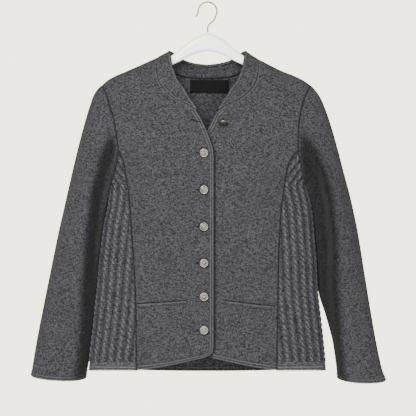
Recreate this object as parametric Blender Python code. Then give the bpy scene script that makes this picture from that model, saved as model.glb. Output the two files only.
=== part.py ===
"""A wool jacket hung on a hanger: felted knit fronts and back, cable-knit side panels.

The frame has its origin where the hanger's hook bears on whatever holds it, +Z up, and
the jacket's front faces -Y. "Across" is measured sideways from the middle of the jacket
and "drop" downwards from the origin. Right and left are the wearer's, so the right
side lies towards -X.
"""
import math

import bpy
import bmesh
import numpy as np
from mathutils import Matrix, Vector

for old in list(bpy.data.objects):
    bpy.data.objects.remove(old, do_unlink=True)

MM = 0.001
FRONT, BACK = -1, 1
RIGHT, LEFT = -1, 1

# Driving dimensions
WALL = 2.5 * MM             # felted knit cloth
COLLAR_WALL = 3.0 * MM      # the collar is doubled
SEAM_GAP = 0.4 * MM         # between two pieces sewn edge to edge
LAP_GAP = 0.5 * MM          # between two layers that lie on each other
LAY_GAP = 0.6 * MM          # under what is sewn flat on a panel
SHOULDER_FALL = 130 * MM    # drop over which the shoulder opens to its full depth
SECTION_ROUND = 2.3         # 2 is an ellipse, more is squarer
CABLE_PITCH = 17 * MM       # from one cable column to the next
TWIST_PITCH = 15 * MM       # from one crossing of a cable to the next
CABLE_HIGH = 1.6 * MM       # the strand that lies on top
CABLE_LOW = 0.6 * MM        # the strand that dives under
HEM_BAND = 14 * MM          # plain band below the cables
PANEL_REACH = 150 * MM      # round the body, from the side line to beyond a panel's seam
SNAP = 0.45                 # share of a lattice step within which a point moves to the seam
BUTTON_RADIUS = 8.3 * MM
BUTTON_LINE = -6.8 * MM     # across, of the row of buttons
LAP_REACH = 27 * MM         # the layers stay parted this far from the button line
LAP_FADE = 60 * MM          # and close up over this width beyond it
V_POINT = 250 * MM          # drop at which the fronts meet
HOOK_WIRE = 2.8 * MM        # diameter
HOOK_RADIUS = 18.5 * MM     # of the wire's centre line
NUDGE = 1.0 * MM            # step over which a slope is measured


def table(columns, rows):
    """Rows of millimetres as one array for each named column, in metres."""
    values = np.array(rows, dtype=float) * MM
    return {name: values[:, index] for index, name in enumerate(columns.split())}


# Where the shoulder seam runs, and the line carried on over the neck
SHOULDER = table("across drop", [
    (-206, 162), (-194, 152), (-180, 144), (-154, 133), (-125, 120), (-98, 108), (-50, 88),
    (0, 79), (50, 90), (98, 111), (122, 123), (144, 134), (167, 143), (186, 152), (201, 162),
])

# How far the body reaches sideways; above the armpit this only sets the front's curve
OUTLINE = table("drop right left", [
    (100, 290, 290), (225, 270, 270), (290, 240, 240), (325, 212, 214), (345, 197, 200),
    (357, 189, 192), (375, 191, 196), (400, 194, 202), (430, 201, 206), (468, 206, 209),
    (500, 210, 212), (566, 216, 215), (640, 223, 223), (700, 230, 229), (730, 231, 231),
])

# Half the body's thickness in front and behind
DEPTH = table("drop front back", [
    (70, 32, 32), (110, 40, 38), (160, 45, 43), (225, 51, 46), (300, 55, 48),
    (360, 53, 48), (450, 49, 46), (560, 47, 46), (650, 49, 48), (730, 51, 50),
])

# The armhole seam, from the shoulder point to the armpit
ARMHOLE = table("drop right left", [
    (162, 206, 201), (180, 198, 193), (200, 192, 185), (227, 183, 180), (259, 178, 177),
    (290, 174, 177), (311, 177, 182), (335, 182, 187), (357, 189, 192),
])

# The seam between front or back and the side panel
SIDE_SEAM = table("drop right left", [
    (290, 174, 177), (300, 168, 167), (311, 164, 161), (325, 161, 156), (351, 157, 151),
    (382, 153, 147), (411, 150, 143), (447, 148, 141), (489, 145, 139), (585, 140, 137),
    (725, 138, 135),
])

# The collar seam on a front, from the front edge up to the shoulder
NECKLINE = table("across drop", [
    (24, 211), (34, 203), (48, 196), (63, 189), (80, 175), (90.5, 163), (97, 148),
    (99.5, 130), (98, 110),
])

# The same seam on the back, from one shoulder to the other
BACK_NECK = table("across drop", [
    (-98, 108), (-92, 118), (-82, 127), (-63, 139), (-39, 146), (0, 148.5), (39, 146),
    (63, 139), (82, 128), (92, 120), (98, 111),
])

# Front edges, from the rounded hem corner up to where the collar tapers out
RIGHT_EDGE = table("across drop", [
    (5, 689), (9.5, 683), (11.5, 672), (11.7, 650), (11.7, 400), (11.7, 305), (9.5, 284),
    (2.9, 265), (-1.4, 253), (-5.9, 243), (-12.7, 229), (-24, 211),
])
LEFT_EDGE = table("across drop", [
    (-25, 688), (-25.3, 650), (-25.3, 400), (-25.3, 305), (-22, 287), (-15, 275), (-6, 262),
    (1.6, 249), (9, 234), (18, 217), (24, 211),
])

# Drop of the front hem at a distance from the middle
FRONT_HEM = table("across drop", [
    (-4, 689), (4, 692.5), (12, 695), (25, 698), (55, 705), (85, 711), (110, 715), (140, 718),
])
BACK_HEM_DROP = 722 * MM
SIDE_HEM_DROP = 719 * MM

# Long soft folds: face, across and drop of both ends, half width, height (+ is outwards)
FOLDS = [
    (FRONT, (-112, 250), (-96, 560), 20, 2.2),
    (FRONT, (92, 240), (104, 600), 22, 2.4),
    (FRONT, (-60, 420), (-78, 700), 18, -1.6),
    (FRONT, (72, 470), (60, 700), 20, -1.8),
    (BACK, (-88, 200), (-62, 660), 24, 3.2),
    (BACK, (34, 250), (44, 700), 26, -2.8),
    (BACK, (104, 220), (92, 640), 22, 3.0),
    (BACK, (-18, 330), (-26, 715), 22, -2.4),
]

# The collar's free edge on a front, from its tip up to the shoulder
COLLAR_EDGE = table("across drop", [
    (21, 207), (28.3, 197), (36.5, 185), (46, 169), (58, 153), (64, 139), (69, 124),
    (72, 109), (74, 95.5),
])

# The edge carried on behind the neck, from the shoulder to the middle
COLLAR_BACK = table("across drop back", [
    (74, 95.5, 0), (70, 97, 6), (61, 102.5, 14), (45, 112.5, 26), (23, 118.5, 32),
    (0, 121, 34),
])
COLLAR_SEAM_GAP = 0.7 * MM

# Sleeves: the outer and the inner edge, half depths, where the front crease lies
# (+1 is the outer edge, -1 the inner) and how high it stands
SLEEVE_COLUMNS = "outer outer_drop inner inner_drop front back crease ridge"
RIGHT_SLEEVE = table(SLEEVE_COLUMNS, [
    (206, 162, 189, 357, 37, 36, 0, 0),
    (214.5, 170, 194, 359, 37, 37, -100, 0),
    (222, 182, 196.5, 364, 37, 38, -150, 1),
    (231, 207, 196.5, 374, 38, 39, -200, 2),
    (247.8, 266, 198, 395, 40, 40, -260, 5),
    (262, 324, 202.8, 422, 41, 40, -320, 7),
    (275.9, 385, 208.4, 458, 40, 38, -400, 8),
    (292, 456, 214, 505, 37, 35, -480, 8),
    (306.5, 527, 219, 560, 34, 32, -580, 7),
    (320, 594, 224.1, 615, 31, 30, -680, 5),
    (332, 655, 229.5, 665, 29, 28, -750, 2),
    (341, 708, 235.5, 714, 28, 27, -800, 0),
    (344.4, 728.5, 239, 733, 28, 27, -800, 0),
])
LEFT_SLEEVE = table(SLEEVE_COLUMNS, [
    (201, 162, 192, 357, 37, 36, 0, 0),
    (209.5, 171, 197, 359, 37, 37, -50, 0),
    (219.5, 185, 200, 364, 37, 38, -60, 1),
    (233, 217, 201.5, 374, 38, 39, -70, 3),
    (250, 272, 205, 395, 40, 40, -80, 6),
    (264.5, 327, 208.5, 422, 41, 40, -100, 9),
    (279, 382, 211.7, 458, 40, 38, -160, 10),
    (293.5, 450, 215.8, 505, 37, 35, -220, 10),
    (306, 527, 220.8, 560, 34, 32, -340, 9),
    (318, 600, 233.5, 615, 31, 30, -560, 6),
    (329.2, 664, 246.5, 665, 29, 28, -780, 3),
    (341, 718, 253.5, 714, 28, 27, -850, 0),
    (348, 738, 255.5, 733, 28, 27, -850, 0),
])
SLEEVE_RINGS = 19
SLEEVE_ROUND = 0.9          # 1 is an ellipse, less is squarer
SLEEVE_LEAN = 9 * MM        # the inner edge lies this far behind the outer one
SLEEVE_SINK = 0.055 / MM    # the front falls in by this share per height of the crease
SINK_WIDTH = 0.34           # of half a sleeve, from the crease to the sunk part
SLEEVE_LAP = 3.4 * MM       # step from the side panel out to the sleeve below the arm
ARMHOLE_HOLD = 0.42         # share of the sleeve's length that the armhole still shapes
ARMPIT_SHARES = np.array([0.28, 0.56, 0.82, 1.0])
CUFF_BOW = 9 * MM           # the cuff's edge hangs lower in front than at its sides
CREASE_WIDTH = {"inner": 0.24, "outer": 0.75}
CREASE_ROUND = 1.5          # 2 is a bell, less is sharper
RING_SPREAD = 1.15          # more puts the rings closer together near the armhole

# Panel grids
LENGTH_ROWS = 15            # from the hem to the top of the side seam
CROWN_ROWS = 7              # from there over the shoulder
FRONT_COLUMNS = 9
SHOULDER_COLUMNS = 4        # of the back, along each shoulder
NECK_COLUMNS = 10           # of the back, along the neck
CROWN_SHARE = 0.23          # of a panel's height, above the side seam

# A button's section from the middle of its shank, in shares of its radius (out, up)
BUTTON_PROFILE = [(0, 0), (0.24, 0), (0.24, 0.16), (0.9, 0.2), (1.0, 0.3), (0.97, 0.42),
                  (0.84, 0.42), (0.55, 0.53), (0, 0.6)]
BUTTON_STEPS = 16
FASTENED_DROPS = [294.5, 366.2, 438.2, 509.3, 575.3, 640.2]
OPEN_BUTTON = {"across": 30.6 * MM, "drop": 229.5 * MM, "tilt": math.radians(52), "stem": 6.4 * MM}

# Slit of each welt pocket, and the depth of the welt below it
WELTS = {
    RIGHT: ((-136, 589), (-40, 582.5)),
    LEFT: ((34, 583), (131, 594)),
}
WELT_HEIGHT = 7.5 * MM
WELT_THICK = 1.2 * MM

LABEL = {"across": (-34, 42), "drop": (150, 176), "thick": 0.7}

# The hanger's upper and lower edge
HANGER = table("across top bottom half", [
    (0, 59, 95, 6.5), (13, 61.5, 96.3, 6.5), (32.5, 72.5, 103, 6.5), (50, 88, 113.5, 6.5),
    (64, 100.4, 120, 6.3), (80, 107.2, 127, 6.2), (98, 113.6, 134, 6), (125, 124.6, 143, 5.8),
    (154, 138.4, 154, 5.5), (180, 149.6, 163.5, 5.2), (192, 158, 168, 4.2),
])

HANGER_ARM = 90 * MM        # beyond this the arms follow the shoulders' own slopes
HANGER_SIDES = 12
HANGER_ROUND = 0.7          # 1 is an ellipse, less is squarer

# The hook's wire below the round loop, and its tip beyond it
HOOK_STEM = [(0.4, 58.4), (0.4, 52), (0.8, 46), (3.6, 42.3), (7, 39), (11.2, 35.6), (14.4, 31)]
HOOK_TIP = [(-18.9, 20.6), (-20.6, 24.6), (-23, 27.6)]
LOOP_START, LOOP_END = math.radians(-26), math.radians(180)
LOOP_POINTS = 18

COLOURS = {
    "wool": ((0.098, 0.099, 0.108, 1), 0.95, 0.0),
    "cable": ((0.108, 0.109, 0.118, 1), 0.95, 0.0),
    "label": ((0.006, 0.006, 0.007, 1), 0.6, 0.0),
    "pewter": ((0.42, 0.40, 0.37, 1), 0.38, 0.9),
    "white": ((0.83, 0.84, 0.85, 1), 0.32, 0.0),
    "brass": ((0.48, 0.36, 0.18, 1), 0.34, 1.0),
}


def material(name):
    """A plain Principled material in one of the part's colours."""
    colour, roughness, metallic = COLOURS[name]
    made = bpy.data.materials.new(name)
    made.use_nodes = True
    shader = made.node_tree.nodes["Principled BSDF"]
    shader.inputs["Base Color"].default_value = colour
    shader.inputs["Roughness"].default_value = roughness
    shader.inputs["Metallic"].default_value = metallic
    return made


def add_object(name, bm, colour, sharp=40):
    """Turn a bmesh into a named object with its own material, shaded smooth."""
    bmesh.ops.recalc_face_normals(bm, faces=bm.faces)
    mesh = bpy.data.meshes.new(name)
    bm.to_mesh(mesh)
    bm.free()
    mesh.shade_smooth()
    mesh.set_sharp_from_angle(angle=math.radians(sharp))
    made = bpy.data.objects.new(name, mesh)
    made.data.materials.append(material(colour))
    bpy.context.scene.collection.objects.link(made)
    return made


def through(at, knots, values):
    """A smooth curve through knots that never overshoots between two of them."""
    width = np.diff(knots)
    slope = np.diff(values) / width
    product = slope[:-1] * slope[1:]
    total = np.where(product > 0, slope[:-1] + slope[1:], 1.0)
    tangent = np.concatenate(([slope[0]], np.where(product > 0, 2 * product / total, 0.0),
                              [slope[-1]]))
    at = np.clip(at, knots[0], knots[-1])
    left = np.clip(np.searchsorted(knots, at) - 1, 0, len(width) - 1)
    part = (at - knots[left]) / width[left]
    rest = 1 - part
    return (values[left] * (1 + 2 * part) * rest ** 2
            + width[left] * tangent[left] * part * rest ** 2
            + values[left + 1] * part ** 2 * (3 - 2 * part)
            - width[left] * tangent[left + 1] * part ** 2 * rest)


def read(source, column, at, by="drop"):
    """Read a table's column where another column has the given value."""
    return through(np.asarray(at, dtype=float), source[by], source[column])


def read_side(source, across, drop):
    """Read the right or the left column, by the side that a point lies on."""
    return np.where(np.asarray(across) < 0, read(source, "right", drop),
                    read(source, "left", drop))


def walk(curve, share, mirror=1):
    """Points on a tabled curve, with its columns, at shares of its length."""
    names = list(curve)
    values = np.stack([curve[name] for name in names], axis=-1)
    values[:, names.index("across")] *= mirror
    steps = np.linalg.norm(np.diff(values, axis=0), axis=1)
    length = np.concatenate(([0.0], np.cumsum(steps)))
    at = np.asarray(share) * length[-1]
    return np.stack([through(at, length, column) for column in values.T], axis=-1)


def ease(low, high, at):
    """Rise smoothly from 0 at low to 1 at high."""
    part = np.clip((at - low) / (high - low), 0.0, 1.0)
    return part * part * (3 - 2 * part)


def spread(count, strength):
    """Shares from 0 to 1 that lie closer together towards both ends."""
    even = np.linspace(0.0, 1.0, count + 1)
    return strength * 0.5 * (1 - np.cos(np.pi * even)) + (1 - strength) * even


def fold_height(across, drop, face):
    """The sum of the long folds at a place on one face."""
    total = np.zeros(np.broadcast(across, drop).shape)
    for fold_face, top, bottom, width, height in FOLDS:
        if fold_face != face:
            continue
        along = (drop - top[1] * MM) / ((bottom[1] - top[1]) * MM)
        centre = (top[0] + (bottom[0] - top[0]) * np.clip(along, 0, 1)) * MM
        swell = ease(-0.25, 0.35, along) * (1 - ease(0.75, 1.2, along))
        total = total + height * MM * swell * np.exp(-((across - centre) / (width * MM)) ** 2)
    return total


def depth(across, drop, face):
    """How far the cloth's middle lies in front of or behind the shoulder line."""
    below = np.clip((drop - read(SHOULDER, "drop", across, by="across")) / SHOULDER_FALL, 0, 1)
    crown = np.sqrt(1 - (1 - below) ** 2)
    reach = read(DEPTH, "front" if face == FRONT else "back", drop)
    side = np.clip(np.abs(across) / read_side(OUTLINE, across, drop), 0, 1)
    rounding = (1 - side ** SECTION_ROUND) ** (1 / SECTION_ROUND)
    folds = fold_height(across, drop, face) * crown * rounding
    return np.maximum(reach * crown * rounding + folds, SEAM_GAP / 2)


def body_point(across, drop, face):
    """A point in the middle of the body's cloth."""
    return np.stack([across, face * depth(across, drop, face), -drop], axis=-1)


def unit(vectors):
    """Scale vectors to length 1."""
    return vectors / np.maximum(np.linalg.norm(vectors, axis=-1, keepdims=True), 1e-12)


def sheet_normals(points, outwards, closed=False):
    """Normals of a grid of points, turned to the side that a function calls outwards."""
    if closed:
        wide = np.concatenate([points[:, -1:], points, points[:, :1]], axis=1)
        along = (wide[:, 2:] - wide[:, :-2])
    else:
        along = np.gradient(points, axis=1)
    normals = unit(np.cross(along, np.gradient(points, axis=0)))
    return normals * np.sign(np.sum(normals * outwards(points)))


def pull_in(points, row=None, column=None):
    """Draw one rim of a grid back by half a seam gap, towards its next row or column."""
    if row is not None:
        inner = points[1] if row == 0 else points[-2]
        points[row] += unit(inner - points[row]) * SEAM_GAP / 2
    if column is not None:
        inner = points[:, 1] if column == 0 else points[:, -2]
        points[:, column] += unit(inner - points[:, column]) * SEAM_GAP / 2


def wall(name, points, normals, colour, thick=WALL, closed=False):
    """A cloth wall around a grid of points, closed at its rims."""
    rows, columns = points.shape[:2]
    bm = bmesh.new()
    faces = [[[bm.verts.new(place) for place in line] for line in points + normals * shift]
             for shift in (thick / 2, -thick / 2)]
    span = columns if closed else columns - 1
    for row in range(rows - 1):
        for column in range(span):
            after = (column + 1) % columns
            for layer in faces:
                bm.faces.new((layer[row][column], layer[row][after],
                              layer[row + 1][after], layer[row + 1][column]))
    for row in (0, rows - 1):
        for column in range(span):
            after = (column + 1) % columns
            bm.faces.new((faces[0][row][column], faces[0][row][after],
                          faces[1][row][after], faces[1][row][column]))
    if not closed:
        for column in (0, columns - 1):
            for row in range(rows - 1):
                bm.faces.new((faces[0][row][column], faces[0][row + 1][column],
                              faces[1][row + 1][column], faces[1][row][column]))
    return add_object(name, bm, colour)


def patch(bottom, top, start, end, across_share, up_share):
    """Fill four bordering curves of (across, drop) with a grid [row, column]."""
    u = across_share[None, :, None]
    v = up_share[:, None, None]
    return ((1 - v) * bottom[None] + v * top[None] + (1 - u) * start[:, None] + u * end[:, None]
            - (1 - u) * (1 - v) * start[0] - u * (1 - v) * end[0]
            - (1 - u) * v * start[-1] - u * v * end[-1])


def body_normals(points, face):
    """Normals of a front or back grid; the shoulder seam's stay upright."""
    normals = sheet_normals(points, lambda places: np.array([0.0, face, 0.6]))
    normals[-1, :, 1] *= np.where(np.abs(points[-1, :, 1]) < SEAM_GAP, 0.0, 1.0)
    return unit(normals)


def lap_shift(across, drop, side):
    """Half the step between the two fronts where the right one lies on the left one."""
    away = np.abs(across - BUTTON_LINE)
    near = 1 - ease(LAP_REACH, LAP_REACH + LAP_FADE, away)
    step = (WALL + LAP_GAP) / 2 * near * ease(V_POINT - 50 * MM, V_POINT - 5 * MM, drop)
    return step * (FRONT if side == RIGHT else BACK)


length_share = spread(LENGTH_ROWS, 0.75)
crown_angle = np.linspace(math.pi / 2, 0, CROWN_ROWS + 1)[1:]
crown_drop = 1 - np.cos(crown_angle)
up_share = np.concatenate([(1 - CROWN_SHARE) * length_share,
                           1 - CROWN_SHARE * crown_drop])


def side_curve(side):
    """The side seam and the armhole above it, from the hem to the shoulder point."""
    column = "right" if side == RIGHT else "left"
    top = SIDE_SEAM["drop"][0]
    seam_drop = SIDE_HEM_DROP + (top - SIDE_HEM_DROP) * length_share
    arm_top = ARMHOLE["drop"][0]
    arm_drop = arm_top + (top - arm_top) * crown_drop
    seam = np.stack([side * read(SIDE_SEAM, column, seam_drop), seam_drop], axis=-1)
    arm = np.stack([side * read(ARMHOLE, column, arm_drop), arm_drop], axis=-1)
    return np.concatenate([seam, arm])


def front_neck(side):
    """The collar's seam on a front, from the shoulder's side of the tip upwards."""
    neck = walk(NECKLINE, 1 - crown_drop, mirror=side)
    neck[-1, 1] = read(SHOULDER, "drop", neck[-1, 0], by="across")
    return neck


def back_neck_across():
    """Places across the back of the neck, closer together towards the shoulders."""
    return BACK_NECK["across"][-1] * -np.cos(np.linspace(0, np.pi, NECK_COLUMNS + 1))


def front_grid(side):
    """A front's grid of points, from its front edge to its side seam."""
    edge = walk(RIGHT_EDGE if side == RIGHT else LEFT_EDGE, length_share)
    edge[-1, 0] = NECKLINE["across"][0] * side
    neck = front_neck(side)
    start = np.concatenate([edge, neck])
    end = side_curve(side)
    share = spread(FRONT_COLUMNS, 0.45)
    hem_across = start[0, 0] + (end[0, 0] - start[0, 0]) * share
    hem_drop = read(FRONT_HEM, "drop", hem_across * side, by="across")
    hem_drop[0], hem_drop[-1] = start[0, 1], end[0, 1]
    top_across = start[-1, 0] + (end[-1, 0] - start[-1, 0]) * share
    top = np.stack([top_across, read(SHOULDER, "drop", top_across, by="across")], axis=-1)
    flat = patch(np.stack([hem_across, hem_drop], axis=-1), top, start, end, share, up_share)
    points = body_point(flat[..., 0], flat[..., 1], FRONT)
    points[..., 1] += lap_shift(flat[..., 0], flat[..., 1], side)
    normals = body_normals(points, FRONT)
    pull_in(points, column=-1)
    points[LENGTH_ROWS + 1:, 0] += unit(points[LENGTH_ROWS + 1:, 1]
                                        - points[LENGTH_ROWS + 1:, 0]) * SEAM_GAP / 2
    return points, normals


def back_grid():
    """The back's grid of points, from the right side seam to the left one."""
    start, end = side_curve(RIGHT), side_curve(LEFT)
    neck_right, neck_left = BACK_NECK["across"][0], BACK_NECK["across"][-1]
    shoulder_right = np.linspace(start[-1, 0], neck_right, SHOULDER_COLUMNS + 1)
    shoulder_left = np.linspace(neck_left, end[-1, 0], SHOULDER_COLUMNS + 1)
    neck = back_neck_across()
    across = np.concatenate([shoulder_right[:-1], neck, shoulder_left[1:]])
    share = (across - across[0]) / (across[-1] - across[0])
    in_neck = (across > neck_right) & (across < neck_left)
    drop = np.where(in_neck, read(BACK_NECK, "drop", across, by="across"),
                    read(SHOULDER, "drop", across, by="across"))
    hem_across = start[0, 0] + (end[0, 0] - start[0, 0]) * share
    belly = np.sin(np.pi * share) ** 0.5
    hem_drop = SIDE_HEM_DROP + (BACK_HEM_DROP - SIDE_HEM_DROP) * belly
    flat = patch(np.stack([hem_across, hem_drop], axis=-1), np.stack([across, drop], axis=-1),
                 start, end, share, up_share)
    points = body_point(flat[..., 0], flat[..., 1], BACK)
    normals = body_normals(points, BACK)
    pull_in(points, column=0)
    pull_in(points, column=-1)
    return points, normals


def ring_at(side, drop, face):
    """Arc length from the side line forward (or back), with across at each point."""
    column = "right" if side == RIGHT else "left"
    angle = np.linspace(0, math.pi / 2, 120) ** 1.3 / (math.pi / 2) ** 0.3
    across = side * read(OUTLINE, column, drop) * np.cos(angle) ** (2 / SECTION_ROUND)
    deep = np.where(angle > 0, depth(across, np.full_like(across, drop), face), 0.0)
    length = np.concatenate(([0.0], np.cumsum(np.hypot(np.diff(across), np.diff(deep)))))
    return length, across, deep


def ring_point(side, drop, arc):
    """A point of the body's section; arc is negative in front and positive behind."""
    face = FRONT if arc < 0 else BACK
    length, across, deep = ring_at(side, drop, face)
    return np.array([np.interp(abs(arc), length, across),
                     face * np.interp(abs(arc), length, deep), -drop])


def ring_arc(side, drop, across, face):
    """The arc length at which the section passes a distance from the middle."""
    length, reached, _ = ring_at(side, drop, face)
    return float(np.interp(-abs(across), -np.abs(reached), length))


def ring_normal(side, drop, arc):
    """The outward normal of the body's section at a point of the side panel."""
    around = ring_point(side, drop, arc + NUDGE) - ring_point(side, drop, arc - NUDGE)
    down = ring_point(side, drop + NUDGE, arc) - ring_point(side, drop - NUDGE, arc)
    normal = unit(np.cross(around, down))
    outwards = normal[:2] @ ring_point(side, drop, arc)[:2]
    return normal * np.sign(outwards)


def panel_drops():
    """Heights of the side panel's rows: the plain hem band, then two rows a twist."""
    top = SIDE_SEAM["drop"][0]
    first = SIDE_HEM_DROP - HEM_BAND
    count = int(round((first - top) / (TWIST_PITCH / 2)))
    return np.concatenate([[SIDE_HEM_DROP], np.linspace(first, top, count + 1)])


def panel_limits(side, drop, face):
    """Arc lengths at which one half of a side panel starts and ends at a height.

    Its seam follows the straight stretches between the front's own seam points.
    """
    column = "right" if side == RIGHT else "left"
    armpit = ARMHOLE["drop"][-1]
    seam = side_curve(side)[LENGTH_ROWS::-1]
    high = ring_arc(side, drop, np.interp(drop, seam[:, 1], np.abs(seam[:, 0])), face)
    low = 0.0
    if drop < armpit - SEAM_GAP / 4:
        low = ring_arc(side, drop, read(ARMHOLE, column, drop), face)
    return low, max(high, low)


def cable_height(column, row, rows):
    """How far a lattice point of the cables stands out of the cloth."""
    if row < 2 or row > rows - 3 or column % 3 == 0:
        return 0.0
    leads = (column % 3 == 1) == (row % 2 == 0)
    return CABLE_HIGH if leads else CABLE_LOW


def panel_skin(bm, side, drops, pitch, shift, raised):
    """One skin of a side panel as a lattice that its seams cut off."""
    grid = []
    rows = len(drops)
    for row, drop in enumerate(drops):
        made = {}
        line = []
        for face in (FRONT, BACK):
            low, high = panel_limits(side, drop, face)
            arcs = []
            for column in range(int(round(PANEL_REACH / pitch))):
                arc = min(max(column * pitch, low), high)
                if high - arc < SNAP * pitch:
                    arc = high
                if arc - low < SNAP * pitch:
                    arc = low
                if high - low < SNAP * pitch:
                    arc = high
                arcs.append(arc)
            stretch = []
            for column, arc in enumerate(arcs):
                key = round(face * arc * 1e7)
                if key not in made:
                    inset = arc
                    if arc == high:
                        inset = max(high - SEAM_GAP / 2, low)
                    normal = ring_normal(side, drop, face * inset)
                    place = ring_point(side, drop, face * inset)
                    inside = low < arc < high or (arc == 0 and low == 0)
                    height = cable_height(column, row, rows) if raised and inside else 0.0
                    made[key] = bm.verts.new(place + normal * (shift + height))
                stretch.append(made[key])
            line.append(stretch)
        grid.append(line)
    for lower, upper in zip(grid[:-1], grid[1:]):
        for half in (0, 1):
            for column in range(len(lower[half]) - 1):
                corners = []
                for vert in (lower[half][column], lower[half][column + 1],
                             upper[half][column + 1], upper[half][column]):
                    if vert not in corners:
                        corners.append(vert)
                if len(corners) > 2 and bm.faces.get(corners) is None:
                    bm.faces.new(corners)
    return [vert for line in grid for stretch in line for vert in stretch]


def border(bm, members):
    """The ordered rim of an open skin."""
    members = set(members)
    edges = [edge for edge in bm.edges if edge.is_boundary and edge.verts[0] in members]
    links = {}
    for edge in edges:
        for vert in edge.verts:
            links.setdefault(vert, []).append(edge.other_vert(vert))
    start = min(links, key=lambda vert: (round(vert.co.z, 4), vert.co.y))
    loop = [start, max(links[start], key=lambda vert: vert.co.y)]
    while True:
        ahead = [vert for vert in links[loop[-1]] if vert is not loop[-2]]
        if ahead[0] is start:
            return loop
        loop.append(ahead[0])


def join_rims(bm, first, second):
    """Close the gap between two rims that run side by side."""
    nearest = min(range(len(second)), key=lambda i: (second[i].co - first[0].co).length)
    second = second[nearest:] + second[:nearest]
    one, two = 0, 0
    while one < len(first) or two < len(second):
        here, there = first[one % len(first)], second[two % len(second)]
        next_one, next_two = first[(one + 1) % len(first)], second[(two + 1) % len(second)]
        step_one = (next_one.co - there.co).length if one < len(first) else math.inf
        step_two = (next_two.co - here.co).length if two < len(second) else math.inf
        if step_one <= step_two:
            bm.faces.new((here, next_one, there))
            one += 1
        else:
            bm.faces.new((here, next_two, there))
            two += 1


def side_panel(name, side):
    """A cable-knit panel: cables raised outside, a plainer and coarser skin inside."""
    bm = bmesh.new()
    drops = panel_drops()
    outer = panel_skin(bm, side, drops, CABLE_PITCH / 3, WALL / 2, True)
    coarse = np.concatenate([drops[:1], drops[1:-1:3], drops[-1:]])
    inner = panel_skin(bm, side, coarse, CABLE_PITCH, -WALL / 2, False)
    join_rims(bm, border(bm, outer), border(bm, inner))
    return add_object(name, bm, "cable")


def armhole_loop(side):
    """The armhole seam as a ring from the shoulder over the front to the armpit and back."""
    column = "right" if side == RIGHT else "left"
    top, tip, armpit = ARMHOLE["drop"][0], SIDE_SEAM["drop"][0], ARMHOLE["drop"][-1]
    upper = top + (tip - top) * crown_drop[::-1]
    lower = tip + (armpit - tip) * ARMPIT_SHARES
    drops = np.concatenate([upper, lower])
    across = side * read(ARMHOLE, column, drops)
    halves = []
    for face in (FRONT, BACK):
        points = body_point(across, drops, face)
        points[0, 1] = 0.0
        points[-1, 1] = 0.0
        lap = ease(0.0, 0.5, (drops - tip) / (armpit - tip)) * SLEEVE_LAP
        reach = read(DEPTH, "front" if face == FRONT else "back", drops)
        wide = read(OUTLINE, column, drops)
        lean = np.stack([side * (np.abs(across) / wide) ** (SECTION_ROUND - 1) / wide,
                         face * (np.abs(points[:, 1]) / reach) ** (SECTION_ROUND - 1) / reach,
                         np.zeros_like(drops)], axis=-1)
        halves.append(points + unit(lean) * lap[:, None])
    return np.concatenate([halves[0], halves[1][-2:0:-1]])


def sleeve_angles(loop):
    """Angles around a sleeve's ring that match the places of the armhole's points."""
    half = len(loop) // 2
    front = np.concatenate(([0.0], np.cumsum(np.linalg.norm(np.diff(loop[:half + 1], axis=0),
                                                            axis=1))))
    angles = np.pi * front / front[-1]
    return np.concatenate([angles, 2 * np.pi - angles[-2:0:-1]])


def sleeve_ring(side, sleeve, share, angles):
    """One ring of a sleeve, spanned between its outer and its inner edge."""
    by = np.linspace(0, 1, len(sleeve["outer"]))
    value = {name: float(through(np.array(share), by, column))
             for name, column in sleeve.items()}
    outer = np.array([side * value["outer"], 0, -value["outer_drop"]])
    inner = np.array([side * value["inner"], 0, -value["inner_drop"]])
    along = np.cos(angles)
    across = np.sin(angles)
    deep = np.abs(across) ** SLEEVE_ROUND
    crease = value["crease"] / (1000 * MM)
    offset = along - crease
    width = np.where(offset < 0, CREASE_WIDTH["inner"], CREASE_WIDTH["outer"])
    ridge = value["ridge"] * np.exp(-(np.abs(offset) / width) ** CREASE_ROUND) * deep
    sunk = SLEEVE_SINK * value["ridge"] * ease(0.0, SINK_WIDTH, -offset)
    front = -(value["front"] * (1 - sunk) * deep + ridge)
    points = (outer + inner) / 2 + (outer - inner) / 2 * along[:, None]
    points[:, 1] = np.where(across > 0, front, value["back"] * deep)
    points[:, 1] += SLEEVE_LEAN * ease(0.0, ARMHOLE_HOLD, share) * (1 - along) / 2
    bow = CUFF_BOW * ease(0.75, 1.0, share) * np.abs(across)
    points[:, 2] -= bow
    return points


def sleeve(name, side, measures):
    """A sleeve as a tube of rings, from the armhole down to its open cuff."""
    loop = armhole_loop(side)
    angles = sleeve_angles(loop)
    shares = np.linspace(0, 1, SLEEVE_RINGS) ** RING_SPREAD
    bend = loop - sleeve_ring(side, measures, 0.0, angles)
    rings = []
    for share in shares:
        hold = 1 - ease(0.0, ARMHOLE_HOLD, share)
        rings.append(sleeve_ring(side, measures, share, angles) + bend * hold)
    points = np.array(rings)
    middle = points.mean(axis=1, keepdims=True)
    normals = sheet_normals(points, lambda places: places - middle, closed=True)
    pull_in(points, row=0)
    return wall(name, points, normals, "wool", closed=True)


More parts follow.
